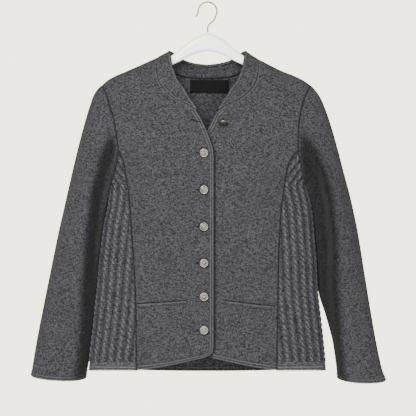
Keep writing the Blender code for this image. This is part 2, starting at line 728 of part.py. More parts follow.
def collar():
    """The stand collar, from one front tip round the back of the neck to the other."""
    lines = []
    back_across = back_neck_across()
    for side in (RIGHT, LEFT):
        tip = np.array([[side * NECKLINE["across"][0], NECKLINE["drop"][0]]])
        flat = np.concatenate([tip, front_neck(side)])
        seam = body_point(flat[:, 0], flat[:, 1], FRONT)
        seam[-1, 1] = 0.0
        share = np.concatenate([[0.0], 1 - crown_drop])
        flat = walk(COLLAR_EDGE, share, mirror=side)
        edge = body_point(flat[:, 0], flat[:, 1], FRONT)
        edge[-1, 1] = 0.0
        behind = back_across[back_across * side >= 0][::side][::-1][1:]
        drop = read(BACK_NECK, "drop", behind, by="across")
        back_seam = body_point(behind, drop, BACK)
        steps = np.linalg.norm(np.diff(np.concatenate([seam[-1:], back_seam]), axis=0), axis=1)
        across, drop, back = walk(COLLAR_BACK, np.cumsum(steps) / steps.sum(), mirror=side).T
        back_edge = np.stack([across, back, -drop], axis=-1)
        seam = np.concatenate([seam, back_seam])
        edge = np.concatenate([edge, back_edge])
        lines.append(np.stack([seam, (seam + edge) / 2, edge], axis=1))
    points = np.concatenate([lines[0], lines[1][-2::-1]])
    away = points - points.mean(axis=(0, 1))
    away[..., 2] = 0
    normals = sheet_normals(points, lambda places: away)
    points[:, 0] += unit(points[:, 1] - points[:, 0]) * COLLAR_SEAM_GAP
    return wall("collar", points, normals, "wool", thick=COLLAR_WALL)


def laid_on(name, colour, across, drop, face, outwards, thick, step=None):
    """A thin piece that lies on a panel, made from the panel's own points."""
    points = body_point(across, drop, face)
    if step is not None:
        points[..., 1] += lap_shift(across, drop, step)
    normals = sheet_normals(points, lambda places: np.array([0.0, face, 0.0]))
    points = points + normals * outwards * (WALL / 2 + LAY_GAP + thick / 2)
    return wall(name, points, normals, colour, thick=thick)


def welt(name, side):
    """The narrow welt under a pocket's slit."""
    start, end = (np.array(place) * MM for place in WELTS[side])
    share = np.linspace(0, 1, 10)[None, :]
    down = np.linspace(0, 1, 3)[:, None]
    across = start[0] + (end[0] - start[0]) * share + 0 * down
    drop = start[1] + (end[1] - start[1]) * share + WELT_HEIGHT * down
    return laid_on(name, "wool", across, drop, FRONT, 1, WELT_THICK, step=side)


def label():
    """The bare woven label inside the back of the neck."""
    across = np.linspace(*LABEL["across"], 8)[None, :] * MM + np.zeros((3, 1))
    drop = np.linspace(*LABEL["drop"], 3)[:, None] * MM + np.zeros((1, 8))
    return laid_on("label", "label", across, drop, BACK, -1, LABEL["thick"] * MM)


def button(name, across, drop, side, tilt=0.0, stem=0.0):
    """A domed metal button with a rolled rim and its shank, seated on its front."""
    bm = bmesh.new()
    verts = [bm.verts.new((r * BUTTON_RADIUS, 0, h * BUTTON_RADIUS + (stem if h > 0 else 0)))
             for r, h in BUTTON_PROFILE]
    edges = [bm.edges.new(pair) for pair in zip(verts[:-1], verts[1:])]
    bmesh.ops.spin(bm, geom=verts + edges, cent=(0, 0, 0), axis=(0, 0, 1),
                   angle=math.tau, steps=BUTTON_STEPS, use_merge=True)
    bmesh.ops.remove_doubles(bm, verts=bm.verts, dist=1e-6)
    made = add_object(name, bm, "pewter", sharp=30)
    here = np.array([across, drop])

    def place(shift_across, shift_drop):
        spot = here + np.array([shift_across, shift_drop])
        found = body_point(spot[0], spot[1], FRONT)
        found[1] += lap_shift(spot[0], spot[1], side)
        return found

    sideways = place(NUDGE, 0) - place(-NUDGE, 0)
    down = place(0, NUDGE) - place(0, -NUDGE)
    normal = unit(np.cross(sideways, down))
    normal = normal * FRONT * np.sign(normal[1])
    lift = WALL / 2 + SEAM_GAP + BUTTON_PROFILE[1][0] * BUTTON_RADIUS * math.sin(tilt)
    facing = Vector(normal).to_track_quat("Z", "Y")
    lean = Matrix.Rotation(tilt, 4, "X")
    made.matrix_world = (Matrix.Translation(Vector(place(0, 0) + normal * lift))
                         @ lean @ facing.to_matrix().to_4x4())
    return made


def hanger():
    """The flat hanger, as sections along its two sloping arms."""
    rows = HANGER["across"]
    across = np.concatenate([-rows[:0:-1], rows])
    at = np.abs(across)
    tilt = read(SHOULDER, "drop", across, by="across") - (
        read(SHOULDER, "drop", at * RIGHT, by="across")
        + read(SHOULDER, "drop", at * LEFT, by="across")) / 2
    tilt = np.where(at > HANGER_ARM, tilt, 0.0)
    top = read(HANGER, "top", at, by="across") + tilt
    bottom = read(HANGER, "bottom", at, by="across") + tilt
    half = read(HANGER, "half", at, by="across")
    angles = np.linspace(0, math.tau, HANGER_SIDES, endpoint=False)
    round_y = np.sign(np.sin(angles)) * np.abs(np.sin(angles)) ** HANGER_ROUND
    round_z = np.sign(np.cos(angles)) * np.abs(np.cos(angles)) ** HANGER_ROUND
    bm = bmesh.new()
    loops = []
    for x, high, low, thick in zip(across, top, bottom, half):
        loops.append([bm.verts.new((x, thick * y, -(high + low) / 2 + (low - high) / 2 * z))
                      for y, z in zip(round_y, round_z)])
    for first, second in zip(loops[:-1], loops[1:]):
        for index in range(len(angles)):
            after = (index + 1) % len(angles)
            bm.faces.new((first[index], first[after], second[after], second[index]))
    bm.faces.new(loops[0])
    bm.faces.new(loops[-1])
    return add_object("hanger", bm, "white")


def hanger_hook():
    """The hook of round wire, from the top of the hanger over the bearing point."""
    centre = HOOK_RADIUS - HOOK_WIRE / 2
    route = [(x * MM, drop * MM) for x, drop in HOOK_STEM]
    for angle in np.linspace(LOOP_START, LOOP_END, LOOP_POINTS):
        route.append((HOOK_RADIUS * math.cos(angle), centre - HOOK_RADIUS * math.sin(angle)))
    route += [(x * MM, drop * MM) for x, drop in HOOK_TIP]
    curve = bpy.data.curves.new("hanger_hook", "CURVE")
    curve.dimensions = "3D"
    curve.bevel_depth = HOOK_WIRE / 2
    curve.bevel_resolution = 2
    curve.use_fill_caps = True
    spline = curve.splines.new("POLY")
    spline.points.add(len(route) - 1)
    for point, (x, drop) in zip(spline.points, route):
        point.co = (x, 0, -drop, 1)
    spline.use_smooth = True
    made = bpy.data.objects.new("hanger_hook", curve)
    made.data.materials.append(material("brass"))
    bpy.context.scene.collection.objects.link(made)
    return made


for side, word in ((RIGHT, "right"), (LEFT, "left")):
    grid, out = front_grid(side)
    wall("front_" + word, grid, out, "wool")
    side_panel("side_" + word, side)
    sleeve("sleeve_" + word, side, RIGHT_SLEEVE if side == RIGHT else LEFT_SLEEVE)
    welt("pocket_welt_" + word, side)
grid, out = back_grid()
wall("back", grid, out, "wool")
collar()
label()
for number, drop in enumerate(FASTENED_DROPS, start=2):
    button("button_%d" % number, BUTTON_LINE, drop * MM, RIGHT)
button("button_1", OPEN_BUTTON["across"], OPEN_BUTTON["drop"], LEFT, OPEN_BUTTON["tilt"],
       OPEN_BUTTON["stem"])
hanger()
hanger_hook()
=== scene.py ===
import math

import bmesh
import bpy
import numpy as np
from mathutils import Matrix, Vector


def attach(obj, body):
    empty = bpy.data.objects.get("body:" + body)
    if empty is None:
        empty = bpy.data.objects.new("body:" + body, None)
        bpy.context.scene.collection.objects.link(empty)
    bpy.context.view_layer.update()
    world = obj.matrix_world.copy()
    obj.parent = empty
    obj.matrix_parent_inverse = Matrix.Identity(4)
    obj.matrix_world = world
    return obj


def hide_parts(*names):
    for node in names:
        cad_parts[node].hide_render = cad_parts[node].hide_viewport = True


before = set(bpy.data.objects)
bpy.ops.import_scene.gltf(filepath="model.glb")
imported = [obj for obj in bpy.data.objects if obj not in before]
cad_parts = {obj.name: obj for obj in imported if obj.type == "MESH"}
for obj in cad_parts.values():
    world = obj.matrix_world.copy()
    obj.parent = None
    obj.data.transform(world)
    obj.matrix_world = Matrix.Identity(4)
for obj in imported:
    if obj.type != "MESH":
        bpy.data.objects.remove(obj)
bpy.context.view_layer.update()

# "Across" runs sideways from the middle and "drop" downwards from the hook's bearing point.
# Right and left are the wearer's, so the right side lies towards -X.
mm = 0.001
front, back = -1, 1
right, left = -1, 1
words = {right: "right", left: "left"}


def table(columns, rows):
    # Rows of millimetres as one array in metres for each named column.
    values = np.array(rows, dtype=float) * mm
    return {name: values[:, index] for index, name in enumerate(columns.split())}


# The form: the solids' measures, with the sleeves closed up to the panels under the arms.
form = {
    "wall": 2.5 * mm, "collarWall": 3.0 * mm, "seamGap": 0.4 * mm, "lapGap": 0.5 * mm,
    "layGap": 0.6 * mm, "shoulderFall": 130 * mm, "round": 2.3, "buttonLine": -6.8 * mm,
    "lapReach": 27 * mm, "lapFade": 60 * mm, "vPoint": 250 * mm, "crownShare": 0.23,
    "backHem": 722 * mm, "sideHem": 719 * mm, "sleeveLap": 0.8 * mm, "sleeveRound": 0.9,
    "armholeHold": 0.42, "cuffBow": 9 * mm, "collarGap": 0.7 * mm, "sleeveLean": 9 * mm,
    "sleeveSink": 0.055 / mm, "sinkWidth": 0.34,
}
shoulder = table("across drop", [
    (-206, 162), (-194, 152), (-180, 144), (-154, 133), (-125, 120), (-98, 108), (-50, 88),
    (0, 79), (50, 90), (98, 111), (122, 123), (144, 134), (167, 143), (186, 152), (201, 162),
])
outline = table("drop right left", [
    (100, 290, 290), (225, 270, 270), (290, 240, 240), (325, 212, 214), (345, 197, 200),
    (357, 189, 192), (375, 191, 196), (400, 194, 202), (430, 201, 206), (468, 206, 209),
    (500, 210, 212), (566, 216, 215), (640, 223, 223), (700, 230, 229), (730, 231, 231),
])
depths = table("drop front back", [
    (70, 32, 32), (110, 40, 38), (160, 45, 43), (225, 51, 46), (300, 55, 48),
    (360, 53, 48), (450, 49, 46), (560, 47, 46), (650, 49, 48), (730, 51, 50),
])
armhole = table("drop right left", [
    (162, 206, 201), (180, 198, 193), (200, 192, 185), (227, 183, 180), (259, 178, 177),
    (290, 174, 177), (311, 177, 182), (335, 182, 187), (357, 189, 192),
])
sideSeam = table("drop right left", [
    (290, 174, 177), (300, 168, 167), (311, 164, 161), (325, 161, 156), (351, 157, 151),
    (382, 153, 147), (411, 150, 143), (447, 148, 141), (489, 145, 139), (585, 140, 137),
    (725, 138, 135),
])
neckline = table("across drop", [
    (24, 211), (34, 203), (48, 196), (63, 189), (80, 175), (90.5, 163), (97, 148),
    (99.5, 130), (98, 110),
])
backNeck = table("across drop", [
    (-98, 108), (-92, 118), (-82, 127), (-63, 139), (-39, 146), (0, 148.5), (39, 146),
    (63, 139), (82, 128), (92, 120), (98, 111),
])
frontEdge = {
    right: table("across drop", [
        (5, 689), (9.5, 683), (11.5, 672), (11.7, 650), (11.7, 400), (11.7, 305), (9.5, 284),
        (2.9, 265), (-1.4, 253), (-5.9, 243), (-12.7, 229), (-24, 211),
    ]),
    left: table("across drop", [
        (-25, 688), (-25.3, 650), (-25.3, 400), (-25.3, 305), (-22, 287), (-15, 275),
        (-6, 262), (1.6, 249), (9, 234), (18, 217), (24, 211),
    ]),
}
frontHem = table("across drop", [
    (-4, 689), (4, 692.5), (12, 695), (25, 698), (55, 705), (85, 711), (110, 715), (140, 718),
])
# Long soft folds: face, across and drop of both ends, half width, height
folds = [
    (front, (-112, 250), (-96, 560), 20, 2.2),
    (front, (92, 240), (104, 600), 22, 2.4),
    (front, (-60, 420), (-78, 700), 18, -1.6),
    (front, (72, 470), (60, 700), 20, -1.8),
    (back, (-88, 200), (-62, 660), 24, 3.2),
    (back, (34, 250), (44, 700), 26, -2.8),
    (back, (104, 220), (92, 640), 22, 3.0),
    (back, (-18, 330), (-26, 715), 22, -2.4),
]
collarEdge = table("across drop", [
    (21, 207), (28.3, 197), (36.5, 185), (46, 169), (58, 153), (64, 139), (69, 124),
    (72, 109), (74, 95.5),
])
collarBack = table("across drop back", [
    (74, 95.5, 0), (70, 97, 6), (61, 102.5, 14), (45, 112.5, 26), (23, 118.5, 32),
    (0, 121, 34),
])
sleeveColumns = "outer outerDrop inner innerDrop front back crease ridge"
sleeveTable = {
    right: table(sleeveColumns, [
        (206, 162, 189, 357, 37, 36, 0, 0),
        (214.5, 170, 190.2, 359, 37, 37, -100, 0),
        (222, 182, 191, 364, 37, 38, -150, 1),
        (231, 207, 192.2, 374, 38, 39, -200, 2),
        (247.8, 266, 195.2, 395, 40, 40, -260, 5),
        (262, 324, 202, 422, 41, 40, -320, 7),
        (275.9, 385, 206.9, 458, 40, 38, -400, 8),
        (292, 456, 212.2, 505, 37, 35, -480, 8),
        (306.5, 527, 217.8, 560, 34, 32, -580, 7),
        (320, 594, 222.2, 615, 31, 30, -680, 5),
        (332, 655, 227.8, 665, 29, 28, -750, 2),
        (341, 708, 235.5, 714, 28, 27, -800, 0),
        (344.4, 728.5, 239, 733, 28, 27, -800, 0),
    ]),
    left: table(sleeveColumns, [
        (201, 162, 192, 357, 37, 36, 0, 0),
        (209.5, 171, 193.2, 359, 37, 37, -50, 0),
        (219.5, 185, 194.4, 364, 37, 38, -60, 1),
        (233, 217, 196.6, 374, 38, 39, -40, 3),
        (250, 272, 202.8, 395, 40, 40, -20, 6),
        (264.5, 327, 207.3, 422, 41, 40, 0, 9),
        (279, 382, 210.8, 458, 40, 38, -90, 10),
        (293.5, 450, 214.4, 505, 37, 35, -180, 10),
        (306, 527, 217.6, 560, 34, 32, -330, 9),
        (318, 600, 233.5, 615, 31, 30, -560, 6),
        (329.2, 664, 246.5, 665, 29, 28, -780, 3),
        (341, 718, 253.5, 714, 28, 27, -850, 0),
        (348, 738, 255.5, 733, 28, 27, -850, 0),
    ]),
}


# Curves and surfaces

def through(at, knots, values):
    # A smooth curve through knots that never overshoots between two of them.
    width = np.diff(knots)
    slope = np.diff(values) / width
    product = slope[:-1] * slope[1:]
    total = np.where(product > 0, slope[:-1] + slope[1:], 1.0)
    tangent = np.concatenate(([slope[0]], np.where(product > 0, 2 * product / total, 0.0),
                              [slope[-1]]))
    at = np.clip(at, knots[0], knots[-1])
    before = np.clip(np.searchsorted(knots, at) - 1, 0, len(width) - 1)
    part = (at - knots[before]) / width[before]
    rest = 1 - part
    return (values[before] * (1 + 2 * part) * rest ** 2
            + width[before] * tangent[before] * part * rest ** 2
            + values[before + 1] * part ** 2 * (3 - 2 * part)
            - width[before] * tangent[before + 1] * part ** 2 * rest)


def read(source, column, at, by="drop"):
    return through(np.asarray(at, dtype=float), source[by], source[column])


def readSide(source, across, drop):
    return np.where(np.asarray(across) < 0, read(source, "right", drop),
                    read(source, "left", drop))


def lengthAlong(line):
    return np.concatenate(([0.0], np.cumsum(np.linalg.norm(np.diff(line, axis=0), axis=1))))


def walk(curve, share, mirror=1):
    # Points on a tabled curve, with its columns, at shares of its length.
    names = list(curve)
    values = np.stack([curve[name] for name in names], axis=-1)
    values[:, names.index("across")] *= mirror
    length = lengthAlong(values)
    at = np.asarray(share) * length[-1]
    return np.stack([through(at, length, column) for column in values.T], axis=-1)


def ease(low, high, at):
    part = np.clip((at - low) / (high - low), 0.0, 1.0)
    return part * part * (3 - 2 * part)


def hump(at, width):
    return np.exp(-(at / width) ** 2)


def unit(vectors):
    return vectors / np.maximum(np.linalg.norm(vectors, axis=-1, keepdims=True), 1e-12)


def paces(length, coarse, fine, zones):
    # Shares of a length, closer together inside the zones.
    at = [0.0]
    while at[-1] < length:
        near = any(low <= at[-1] <= high for low, high in zones)
        at.append(at[-1] + (fine if near else coarse))
    return np.array(at) / at[-1]


def foldHeight(across, drop, face):
    total = np.zeros(np.broadcast(across, drop).shape)
    for foldFace, top, bottom, width, height in folds:
        if foldFace == face:
            along = (drop - top[1] * mm) / ((bottom[1] - top[1]) * mm)
            centre = (top[0] + (bottom[0] - top[0]) * np.clip(along, 0, 1)) * mm
            swell = ease(-0.25, 0.35, along) * (1 - ease(0.75, 1.2, along))
            total = total + height * mm * swell * hump(across - centre, width * mm)
    return total


def depthAt(across, drop, face):
    below = (drop - read(shoulder, "drop", across, by="across")) / form["shoulderFall"]
    crown = np.sqrt(1 - (1 - np.clip(below, 0, 1)) ** 2)
    reach = read(depths, "front" if face == front else "back", drop)
    side = np.clip(np.abs(across) / readSide(outline, across, drop), 0, 1)
    rounding = (1 - side ** form["round"]) ** (1 / form["round"])
    swell = foldHeight(across, drop, face) * crown * rounding
    return np.maximum(reach * crown * rounding + swell, form["seamGap"] / 2)


def bodyPoint(across, drop, face):
    return np.stack([across, face * depthAt(across, drop, face), -drop], axis=-1)


def sheetNormals(points, outwards, closed=False):
    # Normals of a grid of points, turned as a whole to the side called outwards.
    if closed:
        wide = np.concatenate([points[:, -2:-1], points, points[:, 1:2]], axis=1)
        along = wide[:, 2:] - wide[:, :-2]
    else:
        along = np.gradient(points, axis=1)
    normals = unit(np.cross(along, np.gradient(points, axis=0)))
    return normals * np.sign(np.sum(normals * outwards))


def lapShift(across, drop, side):
    away = np.abs(across - form["buttonLine"])
    near = 1 - ease(form["lapReach"], form["lapReach"] + form["lapFade"], away)
    opened = ease(form["vPoint"] - 50 * mm, form["vPoint"] - 5 * mm, drop)
    return (form["wall"] + form["lapGap"]) / 2 * near * opened * (front if side == right else back)


def frontPoint(across, drop, side):
    points = bodyPoint(across, drop, front)
    points[..., 1] += lapShift(across, drop, side)
    return points


def patch(bottom, top, start, end, acrossShare, upShare):
    # Fill four bordering curves with a grid [row, column].
    u = acrossShare[None, :, None]
    v = upShare[:, None, None]
    return ((1 - v) * bottom[None] + v * top[None] + (1 - u) * start[:, None] + u * end[:, None]
            - (1 - u) * (1 - v) * start[0] - u * (1 - v) * end[0]
            - (1 - u) * v * start[-1] - u * v * end[-1])


# Rows of the fronts and the back: up the side seam, then over the shoulder
bodyRows = {
    "length": paces(429 * mm, 2.7 * mm, 0.8 * mm, [(0, 13 * mm), (120 * mm, 146 * mm)]),
    "crown": 1 - np.cos(np.linspace(math.pi / 2, 0, 61)[1:]),
}
bodyRows["up"] = np.concatenate([(1 - form["crownShare"]) * bodyRows["length"],
                                 1 - form["crownShare"] * bodyRows["crown"]])


def sideCurve(side):
    top = sideSeam["drop"][0]
    seamDrop = form["sideHem"] + (top - form["sideHem"]) * bodyRows["length"]
    armDrop = armhole["drop"][0] + (top - armhole["drop"][0]) * bodyRows["crown"]
    seam = np.stack([side * read(sideSeam, words[side], seamDrop), seamDrop], axis=-1)
    arm = np.stack([side * read(armhole, words[side], armDrop), armDrop], axis=-1)
    return np.concatenate([seam, arm])


def bodyNormals(points, face):
    normals = sheetNormals(points, np.array([0.0, face, 0.6]))
    normals[-1, :, 1] *= np.where(np.abs(points[-1, :, 1]) < form["seamGap"], 0.0, 1.0)
    return unit(normals)


def reachAlong(points, axis):
    # Distance from the first row or column of a grid, and from its last.
    step = np.linalg.norm(np.diff(points, axis=axis), axis=-1)
    start = np.zeros(points.shape[:2])
    if axis == 0:
        start[1:] = np.cumsum(step, axis=0)
        return start, start[-1:] - start
    start[:, 1:] = np.cumsum(step, axis=1)
    return start, start[:, -1:] - start


# What an edge or a seam does to the cloth: a height, and painted shade and highlight, for each
# point

stitchGaps = (3.6 * mm, 8.6 * mm)
collarGaps = (4.4 * mm,)
stitchRow = {"groove": 1.0 * mm, "ridge": 1.1 * mm, "ridgeHighlight": 1.2 * mm, "ridgeGap": 2.3 * mm}


def stitchRows(gap, gaps, ridge):
    # How near a point is to the rows' grooves and to the ridges outside them.
    return (sum(hump(gap - row, stitchRow["groove"]) for row in gaps),
            sum(hump(gap - row + stitchRow["ridgeGap"], stitchRow[ridge]) for row in gaps))


def rimRelief(gap, gaps=stitchGaps, band=12 * mm, swell=0.5 * mm):
    pressed, raised = stitchRows(gap, gaps, "ridge")
    rise = swell * (1 - ease(band - 2 * mm, band, gap))
    return rise + 0.45 * mm * raised - 0.85 * mm * pressed


# Painted shade in the stitch grooves, painted highlight on the ridges beside them
def rimShade(gap, gaps=stitchGaps):
    pressed, raised = stitchRows(gap, gaps, "ridgeHighlight")
    return 0.55 * pressed - 0.5 * raised


def seamRelief(gap):
    return -1.1 * mm * hump(gap, 1.6 * mm)


# Painted shade along the seam's groove
def seamShade(gap):
    return 0.95 * hump(gap, 1.8 * mm)


# The collar's seam on the fronts is a fine line with a ridge beside it; painted shade marks
# the line and painted highlight the ridge
neckRidge = 2.2 * mm


def neckRelief(gap):
    return 0.3 * mm * hump(gap - neckRidge, 1.2 * mm) - 0.6 * mm * hump(gap, 1.0 * mm)


def neckShade(gap):
    return 0.3 * hump(gap, 0.9 * mm) - 0.22 * hump(gap - neckRidge, 1.0 * mm)


# Materials

class Reading:
    # A socket that takes part in ordinary arithmetic.

    def __init__(self, graph, socket):
        self.graph = graph
        self.socket = socket

    def calc(self, operation, *terms):
        made = self.graph.node("Math", {"operation": operation}, dict(enumerate(terms)))
        return Reading(self.graph, made.outputs[0])

    def __add__(self, other):
        return self.calc("ADD", self, other)

    def __rsub__(self, other):
        return self.calc("SUBTRACT", other, self)

    def __mul__(self, other):
        return self.calc("MULTIPLY", self, other)

    __radd__ = __add__

    def sine(self):
        return self.calc("SINE", self)

    def step(self, low, high):
        settings = {"interpolation_type": "SMOOTHSTEP"}
        made = self.graph.node("MapRange", settings, {0: self, 1: low, 2: high})
        return Reading(self.graph, made.outputs[0])


class Graph:
    # One material's node tree around its Principled shader.

    def __init__(self, name, slot):
        self.slot = slot
        self.material = bpy.data.materials.new(name)
        self.material.use_nodes = True
        self.tree = self.material.node_tree
        self.shader = self.tree.nodes["Principled BSDF"]

    def node(self, kind, settings=None, inputs=None):
        made = self.tree.nodes.new("ShaderNode" + kind)
        for key, value in (settings or {}).items():
            setattr(made, key, value)
        for key, value in (inputs or {}).items():
            self.plug(made.inputs[key], value)
        return made

    def plug(self, socket, value):
        if isinstance(value, Reading):
            self.tree.links.new(value.socket, socket)
        else:
            socket.default_value = value

    def place(self):
        return Reading(self, self.node("TexCoord").outputs["Object"])

    def attribute(self, name):
        return Reading(self, self.node("Attribute", {"attribute_name": name}).outputs["Fac"])

    def clothPlace(self):
        return Reading(self, self.node("UVMap", {"uv_map": "cloth"}).outputs["UV"])

    def split(self, vector):
        parts = self.node("SeparateXYZ", None, {0: vector}).outputs
        return [Reading(self, part) for part in parts]

    def stretch(self, vector, factors):
        settings = {"operation": "MULTIPLY"}
        made = self.node("VectorMath", settings, {0: vector, 1: factors})
        return Reading(self, made.outputs[0])

    def noise(self, vector, scale, detail=2.0, rough=0.55, warp=0.0):
        inputs = {"Vector": vector, "Scale": scale, "Detail": detail, "Roughness": rough,
                  "Distortion": warp}
        return Reading(self, self.node("TexNoise", None, inputs).outputs[0])

    def mix(self, factor, first, second):
        inputs = {0: factor, 6: first, 7: second}
        return Reading(self, self.node("Mix", {"data_type": "RGBA"}, inputs).outputs[2])

    def bump(self, height, strength, distance):
        inputs = {"Height": height, "Strength": strength, "Distance": distance}
        return Reading(self, self.node("Bump", None, inputs).outputs[0])

    def finish(self, **values):
        for key, value in values.items():
            self.plug(self.shader.inputs[key.replace("_", " ")], value)
        return self


def grey(value, warmth=0.0):
    return (value * (1 + warmth), value * 0.98, value * (1.15 - warmth), 1)


def felt(name, slot, tone, knitBump):
    # Felted melange knit: dark and pale fibres mixed in one yarn.
    made = Graph(name, slot)
    place = made.place()
    cloud = made.noise(place, 34, 2.0)
    grain = made.noise(place, 300, 3.0, 0.7)
    streak = made.noise(made.stretch(place, (0.42, 0.42, 1.0)), 430, 2.0, 0.6)
    fibre = made.noise(made.stretch(place, (1.0, 1.0, 0.62)), 620, 2.0, 0.7)
    fleck = made.noise(place, 900, 1.0)
    melange = (grain * 0.6 + streak * 0.4).step(0.39, 0.61)
    colour = made.mix(melange, grey(tone * 0.32), grey(tone * 1.75))
    colour = made.mix(fibre.step(0.54, 0.70) * 0.7, colour, grey(tone * 3.4))
    colour = made.mix((1 - fleck).step(0.55, 0.72) * 0.6, colour, grey(tone * 0.2))
    colour = made.mix(cloud.step(0.35, 0.7) * 0.16, colour, grey(tone * 0.7))
    # The shade attribute darkens the colour as painted shade and, where it is negative, lightens
    # it as painted highlight
    wearAndPaintedShade = made.attribute("shade")
    colour = made.mix(wearAndPaintedShade * -1, colour, grey(tone * 3.6))
    dark = made.mix(melange, grey(tone * 0.02), grey(tone * 0.34))
    colour = made.mix(wearAndPaintedShade, colour, dark)
    u, v, _ = made.split(made.clothPlace())
    wobble = made.noise(place, 160, 2.0) * 5.0
    wales = (u * (math.tau / 0.0024) + wobble).sine()
    courses = (v * (math.tau / 0.0030) + wales * 0.9 + wobble).sine()
    height = grain * 0.55 + fibre * 0.75 + fleck * 0.35 + wales * knitBump + courses * knitBump
    rough = 0.86 + grain * 0.12
    made.finish(Base_Color=colour, Roughness=rough, Normal=made.bump(height, 0.85, 0.0009))
    return made.finish(Sheen_Weight=0.04, Sheen_Roughness=0.55, Sheen_Tint=(0.75, 0.76, 0.8, 1),
                       Specular_IOR_Level=0.12)


def threadLook():
    made = Graph("thread", "felted_wool")
    place = made.place()
    twist = made.noise(place, 1600, 2.0)
    colour = made.mix(twist.step(0.35, 0.7), grey(0.03), grey(0.085))
    bump = made.bump(twist, 0.5, 0.0003)
    return made.finish(Base_Color=colour, Roughness=0.75 + twist * 0.1, Normal=bump)


def pewterLook():
    made = Graph("pewter_cast", "pewter")
    place = made.place()
    patina = made.noise(place, 260, 4.0, 0.6)
    fine = made.noise(place, 1500, 2.0)
    wearAndPaintedShade = made.mix(patina.step(0.35, 0.7), (0.27, 0.258, 0.235, 1), (0.10, 0.085, 0.065, 1))
    colour = made.mix(made.attribute("shade"), wearAndPaintedShade, (0.006, 0.006, 0.005, 1))
    rough = 0.30 + patina * 0.22 + made.attribute("shade") * 0.3
    bump = made.bump(patina * 0.7 + fine * 0.3, 0.35, 0.0003)
    return made.finish(Base_Color=colour, Metallic=0.92, Roughness=rough, Normal=bump)


def hangerLook():
    made = Graph("hanger_lacquer", "white_lacquer")
    place = made.place()
    ripple = made.noise(place, 60, 2.0)
    scuff = made.noise(made.stretch(place, (0.25, 1.0, 1.0)), 420, 4.0, 0.7)
    tone = made.mix(scuff.step(0.60, 0.78) * 0.35, (0.90, 0.905, 0.91, 1), (0.78, 0.78, 0.77, 1))
    bump = made.bump(ripple * 0.6 + scuff * 0.1, 0.12, 0.0006)
    made.finish(Base_Color=tone, Roughness=0.32 + scuff * 0.12, Normal=bump)
    return made.finish(Coat_Weight=0.25, Coat_Roughness=0.2)


def brassLook():
    made = Graph("brass_drawn", "brass_wire")
    place = made.place()
    dull = made.noise(place, 240, 4.0, 0.65)
    fine = made.noise(made.stretch(place, (1.0, 1.0, 0.3)), 2600, 2.0)
    colour = made.mix(dull.step(0.35, 0.7), (0.22, 0.165, 0.10, 1), (0.10, 0.072, 0.045, 1))
    bump = made.bump(fine, 0.2, 0.0002)
    return made.finish(Base_Color=colour, Metallic=0.9, Roughness=0.38 + dull * 0.2, Normal=bump)


def labelLook():
    made = Graph("label_weave", "label_satin")
    u, v, _ = made.split(made.clothPlace())
    weave = ((u + v) * (math.tau / 0.0009)).sine() * 0.5 + (v * (math.tau / 0.0006)).sine() * 0.5
    lint = made.noise(made.place(), 700, 3.0, 0.7)
    colour = made.mix(lint.step(0.55, 0.8) * 0.5, (0.002, 0.002, 0.0022, 1),
                      (0.007, 0.007, 0.008, 1))
    bump = made.bump(weave * 0.6 + lint * 0.4, 0.35, 0.0003)
    made.finish(Base_Color=colour, Roughness=0.70 + lint * 0.15, Normal=bump)
    return made.finish(Specular_IOR_Level=0.12)


looks = {
    "felt": felt("wool_felt", "felted_wool", 0.0240, 0.16),
    "cable": felt("wool_cable", "cable_knit", 0.0365, 0.30),
    # Near-black wool for the seam and groove yarns, which stand for painted shade
    "seam": felt("wool_seam_shade", "felted_wool", 0.005, 0.16),
    "thread": threadLook(),
    "pewter": pewterLook(),
    "hanger": hangerLook(),
    "brass": brassLook(),
    "label": labelLook(),
}
print("materials made")


# Building pieces

def addPiece(name, mesh, look):
    made = bpy.data.objects.new(name, mesh)
    made.data.materials.clear()
    made.data.materials.append(looks[look].material)
    bpy.context.scene.collection.objects.link(made)
    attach(made, "root")
    return made


def startMesh():
    bm = bmesh.new()
    bm.loops.layers.uv.new("cloth")
    bm.verts.layers.float.new("shade")
    return bm


def endMesh(name, bm):
    bmesh.ops.recalc_face_normals(bm, faces=bm.faces)
    mesh = bpy.data.meshes.new(name)
    bm.to_mesh(mesh)
    bm.free()
    mesh.shade_smooth()
    return mesh


def addSkin(bm, points, cloth, shade):
    # One layer of cloth as a grid; returns its vertices row by row.
    rows, columns = points.shape[:2]
    made = bmesh.ops.create_grid(bm, x_segments=columns - 1, y_segments=rows - 1, size=0.5)
    marks = bm.loops.layers.uv["cloth"]
    tone = bm.verts.layers.float["shade"]
    values = zip(made["verts"], points.reshape(-1, 3), cloth.reshape(-1, 2), shade.reshape(-1))
    for vert, place, mark, dark in values:
        vert.co = place
        vert[tone] = dark
        for corner in vert.link_loops:
            corner[marks].uv = mark
    return [made["verts"][row * columns:(row + 1) * columns] for row in range(rows)]


def thin(count, pace):
    return np.array(sorted(set(range(0, count, pace)) | {count - 1}))


def closeRim(bm, members):
    members = set(members)
    edges = [edge for edge in bm.edges if edge.is_boundary and set(edge.verts) <= members]
    bmesh.ops.bridge_loops(bm, edges=edges)


def skins(grid):
    # The outer layer with its relief, and a plainer inner layer.
    half = grid["wall"] / 2
    outer = grid["points"] + grid["normals"] * (half + grid["relief"])[..., None]
    pace = 1 if "inside" in grid else 2
    pick = np.ix_(*(thin(count, pace) for count in outer.shape[:2]))
    share = grid.get("inside", 0.3)
    rise = np.minimum(grid["relief"][pick], 0) * share - 0.1 * mm
    inner = grid["points"][pick] - grid["normals"][pick] * (half + rise)[..., None]
    return outer, inner, grid["cloth"][pick], grid["shade"][pick] * min(2 * share, 1)


